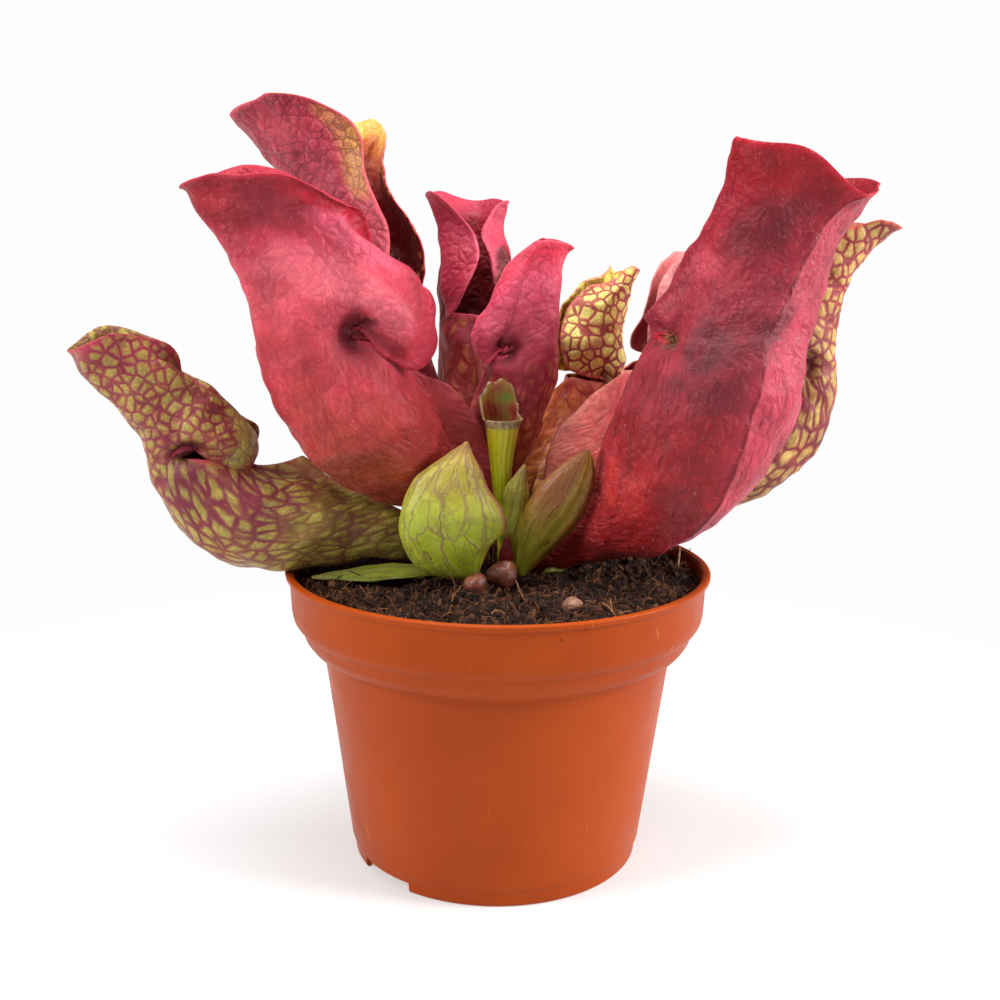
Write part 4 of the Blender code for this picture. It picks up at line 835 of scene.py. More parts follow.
# %% Pitchers
LOOKS = {
    "pitcher_left_large": dict(
        seed=11,
        ground=[(0.0, "774d18"), (0.14, "9a3519"), (0.32, "ac352c"), (0.5, "c53944"), (0.62, "d84d5c"),
                (0.8, "be3549"), (0.97, "a91529")],
        pale="e4666f", vein="871429", wing="a4312c", rim="be2940", rim_amount=0.5, veins=(0.4, 0.22, 0.5),
        vein_width=0.07, sheen=0.03, cell=2.8, mottle=0.18, knob=(2.9, 0.69, 4.0, 9.0),
        inner=[(0.0, "580509"), (0.6, "770a17"), (0.8, "a41d30"), (1.0, "ac2136")],
        dimple=1.5, lump=0.55, roll=0.8,
        # Painted shade: the near-black blotch under the ear at the mouth corner. Painted highlights: the
        # light pink blotches on the neck and hood.
        stains_and_shading=[(0.6, 0.95, 1.0, 0.14, "940a1c", 1.1), (1.5, 0.9, 0.8, 0.1, "861c2b", 0.75),
                (2.5, 0.87, 0.9, 0.09, "f66786", 0.6), (1.6, 0.74, 1.3, 0.08, "f87c8c", 0.5),
                (2.8, 0.69, 0.7, 0.07, "f6788a", 0.5), (3.5, 0.67, 0.5, 0.05, "901727", 0.75),
                (1.2, 0.4, 0.8, 0.1, "a83e28", 0.6), (1.0, 0.28, 1.2, 0.09, "924114", 0.8),
                (2.5, 0.615, 0.5, 0.035, "44060f", 1.0)],
    ),
    "pitcher_left_low": dict(
        seed=23,
        ground=[(0.0, "908f2c"), (0.2, "927f33"), (0.36, "925933"), (0.5, "903f3b"), (0.62, "a34f3f"),
                (0.85, "9f4f3f"), (0.97, "ae3343")],
        pale="c89f5c", vein="74243a", wing="98311a", rim="bf3950", rim_width=2.8, rim_amount=0.6,
        cells=("b9b04e", 0.72, 0.03, 0.16),
        stains_and_shading=[(1.3, 0.5, 0.9, 0.09, "7e2c3f", 0.8), (2.0, 0.4, 0.9, 0.16, "7c3038", 0.7),
                (0.2, 0.45, 0.6, 0.14, "a7993f", 0.5), (3.5, 0.743, 0.5, 0.05, "c0b060", 1.2)],
        veins=(0.8, 0.5, 0.6), cell=3.0, vein_width=0.14, cell_edge=(0.07, 0.24), mottle=0.3, patch=0.45,
        sheen=0.05, rough=0.42,
        inner=[(0.0, "400809"), (0.6, "670f1a"), (0.8, "846030"), (1.0, "98703a")],
        inner_cells=("b4a848", 0.85, 40.0), dimple=1.4, knob=(3.5, 0.748, 3.2, 6.5),
    ),
    "pitcher_left_back": dict(
        seed=31,
        ground=[(0.0, "8f3b22"), (0.4, "9b2731"), (0.6, "a52d3c"), (0.8, "b2374a"), (1.0, "bc394b")],
        pale="d35d71", vein="62091c", wing="9f2d2b", rim="cb4c5d", veins=(0.75, 0.5, 0.4), cell=3.2,
        mottle=0.3, stains_and_shading=[(3.55, 0.9, 0.75, 0.12, "c08a3e", 0.9)],
        inner=[(0.0, "3c0303"), (0.6, "5d0406"), (0.84, "81110c"), (0.9, "b86024"), (0.95, "dcb550"),
               (1.0, "eadb80")],
        inner_vein="8a1014", inner_cells=("e49c3f", 0.8, 4.5), sheen=0.15,
    ),
    "pitcher_back": dict(
        seed=43,
        ground=[(0.0, "855c21"), (0.35, "962f25"), (0.57, "922631"), (0.64, "b12f46"), (0.8, "bd344d"),
                (1.0, "c53c54")],
        pale="c85767", vein="811225", wing="9a372c", rim="d05269", veins=(0.3, 0.16, 0.5),
        vein_width=0.07, cell=3.0, mottle=0.25, cells=("b9723d", 0.75, 0.25, 0.3, 0.6),
        # A near-black patch on the ear, drawn over its margin.
        late_blotches=[(-3.4, 0.72, 1.0, 0.11, "64060f", 1.8)],
        inner=[(0.0, "380003"), (0.6, "600007"), (0.8, "870817"), (1.0, "c13750")],
        sheen=0.03,
    ),
    "pitcher_centre": dict(
        seed=57,
        ground=[(0.0, "96752c"), (0.2, "a34724"), (0.45, "ac2a3d"), (0.6, "c94358"), (0.8, "db506d"),
                (1.0, "ee3952")],
        pale="f77584", vein="8e152a", wing="b04e2e", rim="ee546d", veins=(0.45, 0.25, 0.6),
        vein_width=0.08, sheen=0.04, cell=2.8, mottle=0.25, cells=("db864b", 0.5, 0.1, 0.2, 0.5),
        # Its side shading is painted shade on the side turned from the light, and its one near-black blotch
        # at the mouth corner is painted shade.
        side_shading=("680d1a", 0.3, 1.0), stains_and_shading=[(-2.3, 0.61, 0.5, 0.03, "3c060e", 1.1)],
        inner=[(0.0, "440004"), (0.6, "6f090f"), (1.0, "b7223b")], dimple=1.4, knob=(3.0, 0.76, 2.2, 5.0),
    ),
    "pitcher_right_small": dict(
        seed=61,
        ground=[(0.0, "9e9935"), (0.3, "be642c"), (0.58, "d25e40"), (0.66, "d27362"), (1.0, "c97351")],
        pale="fbb164", vein="8e233b", wing="ce6b31", rim="d26b62", cells=("fff789", 0.97, 0.6, 0.66),
        deep=0.95, veins=(0.85, 0.4, 0.45), cell=3.6, vein_width=0.13, cell_edge=(0.05, 0.16), mottle=0.3,
        sheen=0.05, rough=0.42,
        inner=[(0.0, "561312"), (0.6, "a8502a"), (0.7, "c79a3c"), (1.0, "d2b452")],
        inner_vein="8e233b", inner_cells=("f0e56e", 0.9, 40.0), knob=(3.43, 0.77, 1.5, 5.0),
    ),
    "pitcher_right_pale": dict(
        seed=71,
        ground=[(0.0, "937726"), (0.15, "c45639"), (0.35, "d95a55"), (0.55, "ec6264"), (0.66, "e67773"),
                (0.8, "e68f90"), (1.0, "e89c98")],
        pale="f79e8e", vein="a62336", wing="d15e47", rim="ee968e", veins=(0.5, 0.35, 0.65), cell=3.0,
        mottle=0.4, inner=[(0.0, "600f0f"), (0.6, "aa3838"), (1.0, "dd7d7b")],
    ),
    "pitcher_right_back": dict(
        seed=83,
        ground=[(0.0, "766723"), (0.35, "94503a"), (0.6, "9b473c"), (0.8, "a24a3b"), (1.0, "a9443d")],
        pale="c98351", vein="78162e", wing="953e2c", rim="b24339", cells=("c8a95c", 0.92, 0.1, 0.28),
        veins=(0.88, 0.42, 0.55), cell=3.4, vein_width=0.16, cell_edge=(0.07, 0.22), mottle=0.25,
        sheen=0.05, inner=[(0.0, "470c0d"), (0.6, "761a15"), (1.0, "aa5939")],
    ),
    "pitcher_right_large": dict(
        seed=97,
        ground=[(0.0, "90230e"), (0.14, "961914"), (0.35, "93171d"), (0.55, "8c212d"), (0.7, "902333"),
                (0.88, "9e182b"), (1.0, "a0091a")],
        pale="bd374a", vein="5d0513", wing="a92427", rim="bd192d", veins=(0.45, 0.28, 0.6),
        vein_width=0.08, cell=2.5, mottle=0.3, sheen=0.04, pit="1c1206", pit_shade_size=3.6,
        inner=[(0.0, "400204"), (0.6, "6a050d"), (0.9, "981123"), (1.0, "981123")],
        lump=0.7, ridge=(-0.2, 1.2), line=(-0.2, "780918"), fold=(0.615, 0.9),
        # Its side shading is a lighter pink painted on the side lit from the right.
        side_shading=("b6374c", 0.0, 0.25), dimple=1.2, grain=1.5,
        # Painted shade: the near-black blotch at the mouth corner and the dark blotches along the neck
        # fold.
        stains_and_shading=[(-0.8, 0.95, 1.3, 0.07, "970716", 0.85), (-1.0, 0.855, 0.8, 0.08, "6a141e", 0.8),
                (-1.8, 0.77, 0.6, 0.07, "cf5463", 0.6), (-2.1, 0.67, 0.5, 0.05, "bd4a57", 0.5),
                (-0.8, 0.53, 0.8, 0.09, "781d2a", 0.8), (-1.4, 0.32, 0.6, 0.1, "bf312b", 0.7),
                (-0.6, 0.32, 0.5, 0.08, "8c191a", 0.6), (-0.1, 0.36, 0.35, 0.1, "bd2835", 0.6),
                (-2.4, 0.62, 0.55, 0.035, "240407", 1.3), (-0.9, 0.59, 0.5, 0.07, "5e1f28", 0.9),
                (-0.2, 0.62, 0.3, 0.07, "6c2630", 0.9), (-0.15, 0.38, 0.25, 0.1, "a03040", 0.6)],
    ),
}

for name, leaf in LEAVES.items():
    look = LOOKS[name]
    vertices, faces, stored = pitcher_body(FORMS[leaf["form"]], look)
    finish = skin(f"leaf_skin_{name[8:]}", look)
    vertices = placed(vertices, leaf, PUSHES.get(name, ()))
    piece = make_object(f"leaf_{name[8:]}", vertices, faces, finish, stored)
    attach(piece, "root")
    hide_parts(name)
    print(name, len(faces), "faces")


# %% [markdown]
# The pot is blow-thin thermoformed polypropylene: a tapering body, a stepped collar and a narrow turned
# lip. It is a turned profile with rounded corners. Two gaps in the foot ring let water out and six holes
# drain the floor, so these are cut with Booleans, as in the solid.

# %% Pot
OUTSIDE = [(40, 0), (40.6, 0.6), (40.9, 4.4), (41.6, 5.0), (49, 60.6), (49.8, 61.2), (52.6, 62.6),
           (54.2, 64.8), (54.9, 67), (55.2, 68.1), (56.3, 68.8), (57.2, 70.3), (57.6, 72.5), (58, 81.4),
           (59.1, 81.8), (59.3, 83.2), (58.5, 83.6)]
INSIDE = [(57.2, 83.3), (56.9, 82.6), (56.7, 80), (56.2, 72.6), (55.8, 71), (54, 69), (53.5, 66.5),
          (52.9, 65.4), (51.3, 63.8), (48, 62.2), (47.6, 60.4), (40.2, 4.6)]
UNDER = [(0, 4.6), (0, 3.1), (39.2, 3.1), (38.9, 0)]
FOOT_GAPS = (222.0, 42.0)
DRAIN_HOLES, DRAIN_RING, DRAIN_RADIUS = 6, 27, 3.2


def rounded(profile, radius):
    """A profile with every corner replaced by a short curve, and its straight runs divided."""
    points = np.array(profile, float)
    made = []
    for k, point in enumerate(points):
        before, after = points[k - 1] - point, points[(k + 1) % len(points)] - point
        if point[0] < 1e-6:
            made.append(point)
            continue
        reach = min(radius, 0.45 * np.linalg.norm(before), 0.45 * np.linalg.norm(after))
        a = point + before / np.linalg.norm(before) * reach
        b = point + after / np.linalg.norm(after) * reach
        made += [a * (1 - t) ** 2 + point * 2 * t * (1 - t) + b * t**2 for t in (0, 0.33, 0.67, 1)]
    return made


def turned(name, profile, finish, segments, sharp=None):
    """A turned solid. Points of the profile on the axis become single points."""
    vertices, rows, faces = [], [], []
    turns = 2 * math.pi * np.arange(segments) / segments
    for r, z in profile:
        if r < 1e-6:
            rows.append([len(vertices)] * segments)
            vertices.append((0.0, 0.0, z))
        else:
            rows.append(list(range(len(vertices), len(vertices) + segments)))
            vertices += np.column_stack([r * np.cos(turns), r * np.sin(turns),
                                         np.full(segments, z)]).tolist()
    for low, high in zip(rows, rows[1:] + rows[:1]):
        if low[0] == low[1] and high[0] == high[1]:
            continue
        for k in range(segments):
            n = (k + 1) % segments
            corners = [low[k], low[n], high[n], high[k]]
            faces.append([c for i, c in enumerate(corners) if c not in corners[:i]])
    return make_object(name, vertices, faces, finish, sharp=sharp)


def prism(corners, bottom, top):
    """An upright prism on a plan outline, for cutting."""
    n = len(corners)
    vertices = [(x, y, bottom) for x, y in corners] + [(x, y, top) for x, y in corners]
    faces = [list(range(n))[::-1], list(range(n, 2 * n))]
    faces += [[k, (k + 1) % n, n + (k + 1) % n, n + k] for k in range(n)]
    return make_object("cutter", vertices, faces, bpy.data.materials["pot_plastic"])


def baked(piece, name):
    """The piece's mesh after its modifiers, as a plain object. The source is removed."""
    graph = bpy.context.evaluated_depsgraph_get()
    mesh = bpy.data.meshes.new_from_object(piece.evaluated_get(graph), depsgraph=graph)
    bpy.data.objects.remove(piece)
    made = bpy.data.objects.new(name, mesh)
    bpy.context.scene.collection.objects.link(made)
    return made


def pot_plastic():
    """Terracotta-coloured polypropylene: satin, with faint orange peel, scratches, specks and scuffs."""
    tree, shader, made = new_material("pot_plastic")
    where = add(tree, "ShaderNodeTexCoord").outputs["Object"]
    cloud = noise(tree, where, 22.0, 4.0)
    colour = ramp(tree, cloud, [(0.3, "963809"), (0.7, "a2410b")])
    speck = add(tree, "ShaderNodeTexVoronoi", {"Vector": where, "Scale": 210.0}, feature="F1")
    size = spread(tree, noise(tree, where, 60.0, 2.0), 0.5, 0.75, 0.0, 0.1)
    dark = maths(tree, "LESS_THAN", speck.outputs[0], size)
    dark_amount = maths(tree, "MULTIPLY", dark, 0.2)
    colour = mix(tree, dark_amount, colour, srgb("611d03"))
    stretched = add(tree, "ShaderNodeMapping", {0: where, 3: (1.0, 1.0, 0.16)}).outputs[0]
    scratch = add(tree, "ShaderNodeTexVoronoi", {"Vector": stretched, "Scale": 75.0},
                  feature="DISTANCE_TO_EDGE")
    thin = spread(tree, scratch.outputs[0], 0.0, 0.014, 1.0, 0.0)
    torn = spread(tree, noise(tree, where, 110.0, 3.0), 0.6, 0.68)
    thin = maths(tree, "MULTIPLY", thin, torn)
    colour = mix(tree, maths(tree, "MULTIPLY", thin, 0.3), colour, srgb("d67a31"))
    dust = spread(tree, noise(tree, where, 700.0, 3.0), 0.68, 0.76, 0.0, 0.35)
    colour = mix(tree, dust, colour, srgb("c76824"))
    tree.links.new(colour, shader.inputs["Base Color"])
    tree.links.new(spread(tree, noise(tree, where, 90.0, 4.0), 0.25, 0.75, 0.36, 0.48),
                   shader.inputs["Roughness"])
    shader.inputs["IOR"].default_value = 1.49
    shader.inputs["Specular IOR Level"].default_value = 0.12
    shader.inputs["Subsurface Weight"].default_value = 0.05
    shader.inputs["Subsurface Radius"].default_value = (0.001, 0.0004, 0.0002)
    shader.inputs["Subsurface Scale"].default_value = 1.0
    normal = bump(tree, noise(tree, where, 900.0, 2.0), 0.00003)
    normal = bump(tree, maths(tree, "SUBTRACT", 1.0, thin), 0.00005, normal=normal)
    normal = bump(tree, noise(tree, where, 35.0, 2.0), 0.0005, normal=normal)
    tree.links.new(normal, shader.inputs["Normal"])
    return made


pot = turned("pot_shell", rounded(OUTSIDE + INSIDE + UNDER, 0.5), pot_plastic(), 192)
cutters = []
for azimuth in FOOT_GAPS:
    turn = math.radians(azimuth)
    plan = [(34, -9.5), (46, -9.5), (46, 9.5), (34, 9.5)]
    c, s = math.cos(turn), math.sin(turn)
    corners = [(r * c - side * s, r * s + side * c) for r, side in plan]
    cutters.append(prism(corners, -1, 3.0))
for n in range(DRAIN_HOLES):
    turn = 2 * math.pi * (n + 0.53) / DRAIN_HOLES
    middle_x, middle_y = DRAIN_RING * math.cos(turn), DRAIN_RING * math.sin(turn)
    round_hole = 2 * math.pi * (np.arange(24) + 0.3) / 24
    corners = [(middle_x + DRAIN_RADIUS * math.cos(t), middle_y + DRAIN_RADIUS * math.sin(t))
               for t in round_hole]
    cutters.append(prism(corners, -1, 6.6))
for cutter in cutters:
    cut = pot.modifiers.new("cut", "BOOLEAN")
    cut.operation, cut.solver, cut.object = "DIFFERENCE", "EXACT", cutter
pot = baked(pot, "pot_shell")
pot.data.set_sharp_from_angle(angle=math.radians(45))
for cutter in cutters:
    bpy.data.objects.remove(cutter)
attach(pot, "root")
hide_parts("pot")
print("pot", len(pot.data.polygons), "faces")


# %% [markdown]
# Things that repeat, such as peat fibres, crumbs and leaf hairs, are scattered over a surface by Geometry
# Nodes. One tree grows thin curved strands and one places rough grains. Each copy has few faces and a
# stored random shade.

# %% Scatter trees
def scatter_tree(name, inputs):
    """A node tree that puts instances on a surface, and the nodes that its shape part plugs into."""
    tree = bpy.data.node_groups.new(name, "GeometryNodeTree")
    tree.interface.new_socket("Geometry", in_out="INPUT", socket_type="NodeSocketGeometry")
    for label, value in inputs.items():
        kind = {int: "NodeSocketInt", float: "NodeSocketFloat"}[type(value)]
        tree.interface.new_socket(label, in_out="INPUT", socket_type=kind).default_value = value
    tree.interface.new_socket("Finish", in_out="INPUT", socket_type="NodeSocketMaterial")
    tree.interface.new_socket("Geometry", in_out="OUTPUT", socket_type="NodeSocketGeometry")
    given = tree.nodes.new("NodeGroupInput").outputs
    weight = add(tree, "GeometryNodeInputNamedAttribute", {0: "growth"}, data_type="FLOAT").outputs[0]
    density = maths(tree, "MULTIPLY", given["Density"], weight)
    spots = add(tree, "GeometryNodeDistributePointsOnFaces",
                {"Mesh": given["Geometry"], "Density": density, "Seed": given["Seed"]})
    return tree, given, spots


def random_value(tree, seed, low, high, vector=False):
    made = add(tree, "FunctionNodeRandomValue", data_type="FLOAT_VECTOR" if vector else "FLOAT")
    pair = (0, 1) if vector else (2, 3)
    for socket, value in zip(pair, (low, high)):
        if isinstance(value, bpy.types.NodeSocket):
            tree.links.new(value, made.inputs[socket])
        else:
            made.inputs[socket].default_value = value
    tree.links.new(seed, made.inputs["Seed"])
    return made.outputs[0 if vector else 1]


def place_copies(tree, given, spots, shape, turn, size):
    """Instances the shape, stores a random shade, realizes the copies and gives them their finish."""
    facing = add(tree, "FunctionNodeRotateRotation", {0: spots.outputs["Rotation"], 1: turn},
                 rotation_space="LOCAL")
    copies = add(tree, "GeometryNodeInstanceOnPoints",
                 {"Points": spots.outputs[0], "Instance": shape, "Rotation": facing.outputs[0],
                  "Scale": size})
    shade = random_value(tree, maths(tree, "ADD", given["Seed"], 5.0), 0.0, 1.0)
    stored = add(tree, "GeometryNodeStoreNamedAttribute", {0: copies.outputs[0], 2: "shade", 3: shade},
                 data_type="FLOAT", domain="INSTANCE")
    real = add(tree, "GeometryNodeRealizeInstances", {0: stored.outputs[0]})
    done = add(tree, "GeometryNodeSetMaterial", {0: real.outputs[0], 2: given["Finish"]})
    out = tree.nodes.new("NodeGroupOutput")
    tree.links.new(done.outputs[0], out.inputs[0])
    return tree


def strand_tree():
    """Curved three-sided strands that taper to a point."""
    inputs = {"Density": 1e6, "Length": 0.001, "Thickness": 0.00004, "Curl": 0.3, "Lean": 0.5, "Steps": 4,
              "Seed": 1}
    tree, given, spots = scatter_tree("strands", inputs)
    length, curl = given["Length"], given["Curl"]
    aside, halfway = maths(tree, "MULTIPLY", length, curl), maths(tree, "MULTIPLY", length, 0.5)
    middle = add(tree, "ShaderNodeCombineXYZ", {0: aside, 2: halfway})
    tip = add(tree, "ShaderNodeCombineXYZ", {1: aside, 2: length})
    line = add(tree, "GeometryNodeCurveQuadraticBezier",
               {"Resolution": given["Steps"], "Start": (0, 0, 0), "Middle": middle.outputs[0],
                "End": tip.outputs[0]})
    way = add(tree, "GeometryNodeSplineParameter").outputs[0]
    taper = maths(tree, "SUBTRACT", 1.0, maths(tree, "MULTIPLY", way, 0.75))
    line = add(tree, "GeometryNodeSetCurveRadius", {0: line.outputs[0], 2: taper})
    ring = add(tree, "GeometryNodeCurvePrimitiveCircle", {"Resolution": 3, "Radius": given["Thickness"]})
    strand = add(tree, "GeometryNodeCurveToMesh", {0: line.outputs[0], 1: ring.outputs[0]})
    lean = given["Lean"]
    spin = random_value(tree, maths(tree, "ADD", given["Seed"], 1.0), -math.pi, math.pi)
    other_way = maths(tree, "MULTIPLY", lean, -1.0)
    tilt = random_value(tree, maths(tree, "ADD", given["Seed"], 2.0), other_way, lean)
    tilt_y = random_value(tree, maths(tree, "ADD", given["Seed"], 3.0), other_way, lean)
    turn = add(tree, "ShaderNodeCombineXYZ", {0: tilt, 1: tilt_y, 2: spin}).outputs[0]
    turn = add(tree, "FunctionNodeEulerToRotation", {0: turn}).outputs[0]
    size = random_value(tree, maths(tree, "ADD", given["Seed"], 4.0), 0.4, 1.2)
    return place_copies(tree, given, spots, strand.outputs[0], turn, size)


def grain_tree():
    """Rough rounded crumbs."""
    tree, given, spots = scatter_tree("grains", {"Density": 1e6, "Size": 0.001, "Seed": 1})
    ball = add(tree, "GeometryNodeMeshIcoSphere", {"Radius": given["Size"], "Subdivisions": 1})
    push = add(tree, "ShaderNodeTexNoise", {"Scale": 900.0}).outputs[1]
    push = add(tree, "ShaderNodeVectorMath", {0: push, 1: (0.5, 0.5, 0.5)}, operation="SUBTRACT").outputs[0]
    reach = maths(tree, "MULTIPLY", given["Size"], 1.6)
    push = add(tree, "ShaderNodeVectorMath", {0: push, 3: reach}, operation="SCALE")
    lump = add(tree, "GeometryNodeSetPosition", {"Geometry": ball.outputs[0], "Offset": push.outputs[0]})
    least, most = (-3.1, -3.1, -3.1), (3.1, 3.1, 3.1)
    turn = random_value(tree, maths(tree, "ADD", given["Seed"], 1.0), least, most, True)
    turn = add(tree, "FunctionNodeEulerToRotation", {0: turn}).outputs[0]
    least, most = (0.3, 0.3, 0.25), (1.3, 1.3, 0.9)
    size = random_value(tree, maths(tree, "ADD", given["Seed"], 2.0), least, most, True)
    return place_copies(tree, given, spots, lump.outputs[0], turn, size)


def scatter(name, vertices, faces, growth, tree, finish, **inputs):
    """Copies of a small shape over a surface. growth, from 0 to 1 on each point, thins them out."""
    base = make_object(name + "_base", vertices, faces, finish, {"growth": growth})
    grow = base.modifiers.new("grow", "NODES")
    grow.node_group = tree
    for item in tree.interface.items_tree:
        if item.in_out == "INPUT" and item.name in inputs:
            grow[item.identifier] = inputs[item.name]
        elif item.in_out == "INPUT" and item.name == "Finish":
            grow[item.identifier] = finish
    made = baked(base, name)
    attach(made, "root")
    print(name, len(made.data.polygons), "faces")
    return made


STRANDS, GRAINS = strand_tree(), grain_tree()


# %% [markdown]
# Peat with coarse fibres fills the pot. Its surface is a disc pushed up and down by ripples of several
# sizes, with crumbs and curly brown rootlets scattered over it. Its underside follows the pot's inside.

# %% Peat
def peat_finish(name, colours, rough=0.95):
    """Dark brown organic matter. The stored shade picks one of its browns."""
    tree, shader, made = new_material(name)
    where = add(tree, "ShaderNodeTexCoord").outputs["Object"]
    shade = add(tree, "ShaderNodeAttribute", attribute_name="shade").outputs[2]
    speckle = noise(tree, where, 500.0, 4.0)
    value = maths(tree, "ADD", maths(tree, "MULTIPLY", shade, 0.8), maths(tree, "MULTIPLY", speckle, 0.35))
    tree.links.new(ramp(tree, value, colours), shader.inputs["Base Color"])
    shader.inputs["Roughness"].default_value = rough
    shader.inputs["Specular IOR Level"].default_value = 0.3
    grain = bump(tree, noise(tree, where, 900.0, 5.0, 0.7), 0.0006)
    tree.links.new(grain, shader.inputs["Normal"])
    return made


PEAT_EDGE, PEAT_LEVEL, PEAT_CROWN = 56.25, 80.0, 1.4
RINGS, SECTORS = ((90, 240))
reach = np.linspace(0, 1, RINGS + 1)[1:] ** 0.85 * PEAT_EDGE
turns = 2 * math.pi * np.arange(SECTORS) / SECTORS
top = np.array([(r * math.cos(t), r * math.sin(t), 0.0) for r in reach for t in turns])
top = np.vstack([top, [[0, 0, 0]]])
out = np.hypot(top[:, 0], top[:, 1]) / PEAT_EDGE
rough = 1.1 * ripple(top, 17, 3) + 0.8 * ripple(top, 7, 4) + 0.55 * ripple(top, 3.1, 5)
rough = rough + 0.3 * ripple(top, 1.6, 6)
top[:, 2] = PEAT_LEVEL + PEAT_CROWN * (1 - out**2) + rough * np.clip((1 - out) * 14, 0.15, 1)
faces = []
for i in range(RINGS - 1):
    for k in range(SECTORS):
        n = (k + 1) % SECTORS
        a, b = i * SECTORS, (i + 1) * SECTORS
        faces.append([a + k, b + k, b + n, a + n])
faces += [[len(top) - 1, k, (k + 1) % SECTORS] for k in range(SECTORS)]
surface_faces = list(faces)
below = [(55.8, 72.8), (55.4, 71.2), (53.6, 69.3), (53.1, 66.8), (50.9, 64.2), (47.6, 62.5), (47.2, 60.5),
         (39.8, 4.9)]
sides = [(r * math.cos(t), r * math.sin(t), z) for r, z in below for t in turns]
last = (RINGS - 1) * SECTORS
for i in range(len(below)):
    a, b = (last if i == 0 else len(top) + (i - 1) * SECTORS), len(top) + i * SECTORS
    faces += [[a + k, b + k, b + (k + 1) % SECTORS, a + (k + 1) % SECTORS] for k in range(SECTORS)]
faces.append([len(top) + (len(below) - 1) * SECTORS + k for k in range(SECTORS)][::-1])
peat_dark = peat_finish("peat", [(0.1, "170a04"), (0.45, "261108"), (0.9, "412314")])
peat = make_object("peat_bed", np.vstack([top, sides]), faces, peat_dark)
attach(peat, "root")
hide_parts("peat")

crumb_brown = peat_finish("peat_crumbs", [(0.1, "110603"), (0.5, "2a140a"), (0.85, "4a2a18"),
                                          (1.0, "6c4428")])
fibre_tan = peat_finish("peat_fibres", [(0.1, "1f0c05"), (0.45, "432414"), (0.75, "6c4023"),
                                        (1.0, "9c693e")], 0.8)
inner = (out < 0.985).astype(float)
scatter("peat_crumb_coarse", top, surface_faces, inner, GRAINS, crumb_brown,
        Density=2.6e5, Size=0.0014, Seed=11)
scatter("peat_crumb_fine", top, surface_faces, inner, GRAINS, crumb_brown,
        Density=7.0e5, Size=0.0006, Seed=12)
open_ground = inner * (0.35 + 0.65 * (ripple(top, 14, 9) > -0.2))
scatter("peat_fibre_long", top, surface_faces, open_ground, STRANDS, fibre_tan,
        Density=2.6e4, Length=0.0055, Thickness=0.00015, Curl=0.6, Lean=1.5, Seed=21)
scatter("peat_fibre_short", top, surface_faces, inner, STRANDS, fibre_tan,
        Density=2.4e5, Length=0.0025, Thickness=0.00013, Curl=0.9, Lean=1.45, Seed=22)


# %% [markdown]
# The unopened leaves are flattened bodies with a pointed tip. Each is lofted along a short path, so lines
# of equal angle run from its foot to its tip just as its veins do.

# %% Lofted leaves and buds
def lofted(name, path, across, through, finish, facing=(0, -1, 0), segments=64, rows=70, lump=0.15,
           seams=(), seed=1):
    """A closed body along a path, widest square to facing. seams are ridges: (angle, height, width)."""
    levels = np.linspace(0, 1, rows)
    line = smooth(path, levels)
    wide, thick = smooth(across, levels)[:, 0], smooth(through, levels)[:, 0]
    ahead = np.gradient(line, axis=0)
    ahead /= np.linalg.norm(ahead, axis=1, keepdims=True)
    turns = 2 * math.pi * np.arange(segments) / segments
    points, columns, along = [], [], []
    for level, point, way, w, t in zip(levels, line, ahead, wide, thick):
        sideways = np.cross(way, np.array(facing, float))
        sideways /= np.linalg.norm(sideways)
        normal = np.cross(sideways, way)
        grow = np.zeros(segments)
        for angle, height, width in seams:
            apart = (turns - angle + math.pi) % (2 * math.pi) - math.pi
            grow += height * math.sin(math.pi * min(level * 1.02, 1)) ** 0.6 * bell(apart, width)
        w, t = max(w, 0.12), max(t, 0.12)
        offset = np.outer(np.cos(turns) * w, sideways) + np.outer(np.sin(turns) * t, normal)
        size = np.linalg.norm(offset, axis=1, keepdims=True)
        points.append(point + offset * (1 + grow[:, None] / np.maximum(size, 0.5)))
        columns.append(turns)
        along.append(np.full(segments, level))
    points = np.vstack(points)
    points = np.vstack([points, line[:1] - ahead[:1] * 0.1, line[-1:] + ahead[-1:] * 0.1])
    grid = np.arange(rows * segments).reshape(rows, segments)
    nxt = np.roll(grid, -1, axis=1)
    faces = np.stack([grid[:-1], nxt[:-1], nxt[1:], grid[1:]], -1).reshape(-1, 4).tolist()
    faces += [[int(b), int(a), rows * segments] for a, b in zip(grid[0], nxt[0])]
    faces += [[int(a), int(b), rows * segments + 1] for a, b in zip(grid[-1], nxt[-1])]
    points = points + point_normals(points, faces) * (lump * ripple(points, 7, seed))[:, None]
    columns = np.concatenate([*columns, [0, 0]])
    along = np.concatenate([*along, [0, 1]])
    place = np.column_stack([along, columns, np.zeros(len(along))])
    return make_object(name, points, faces, finish, {"leaf_place": place})


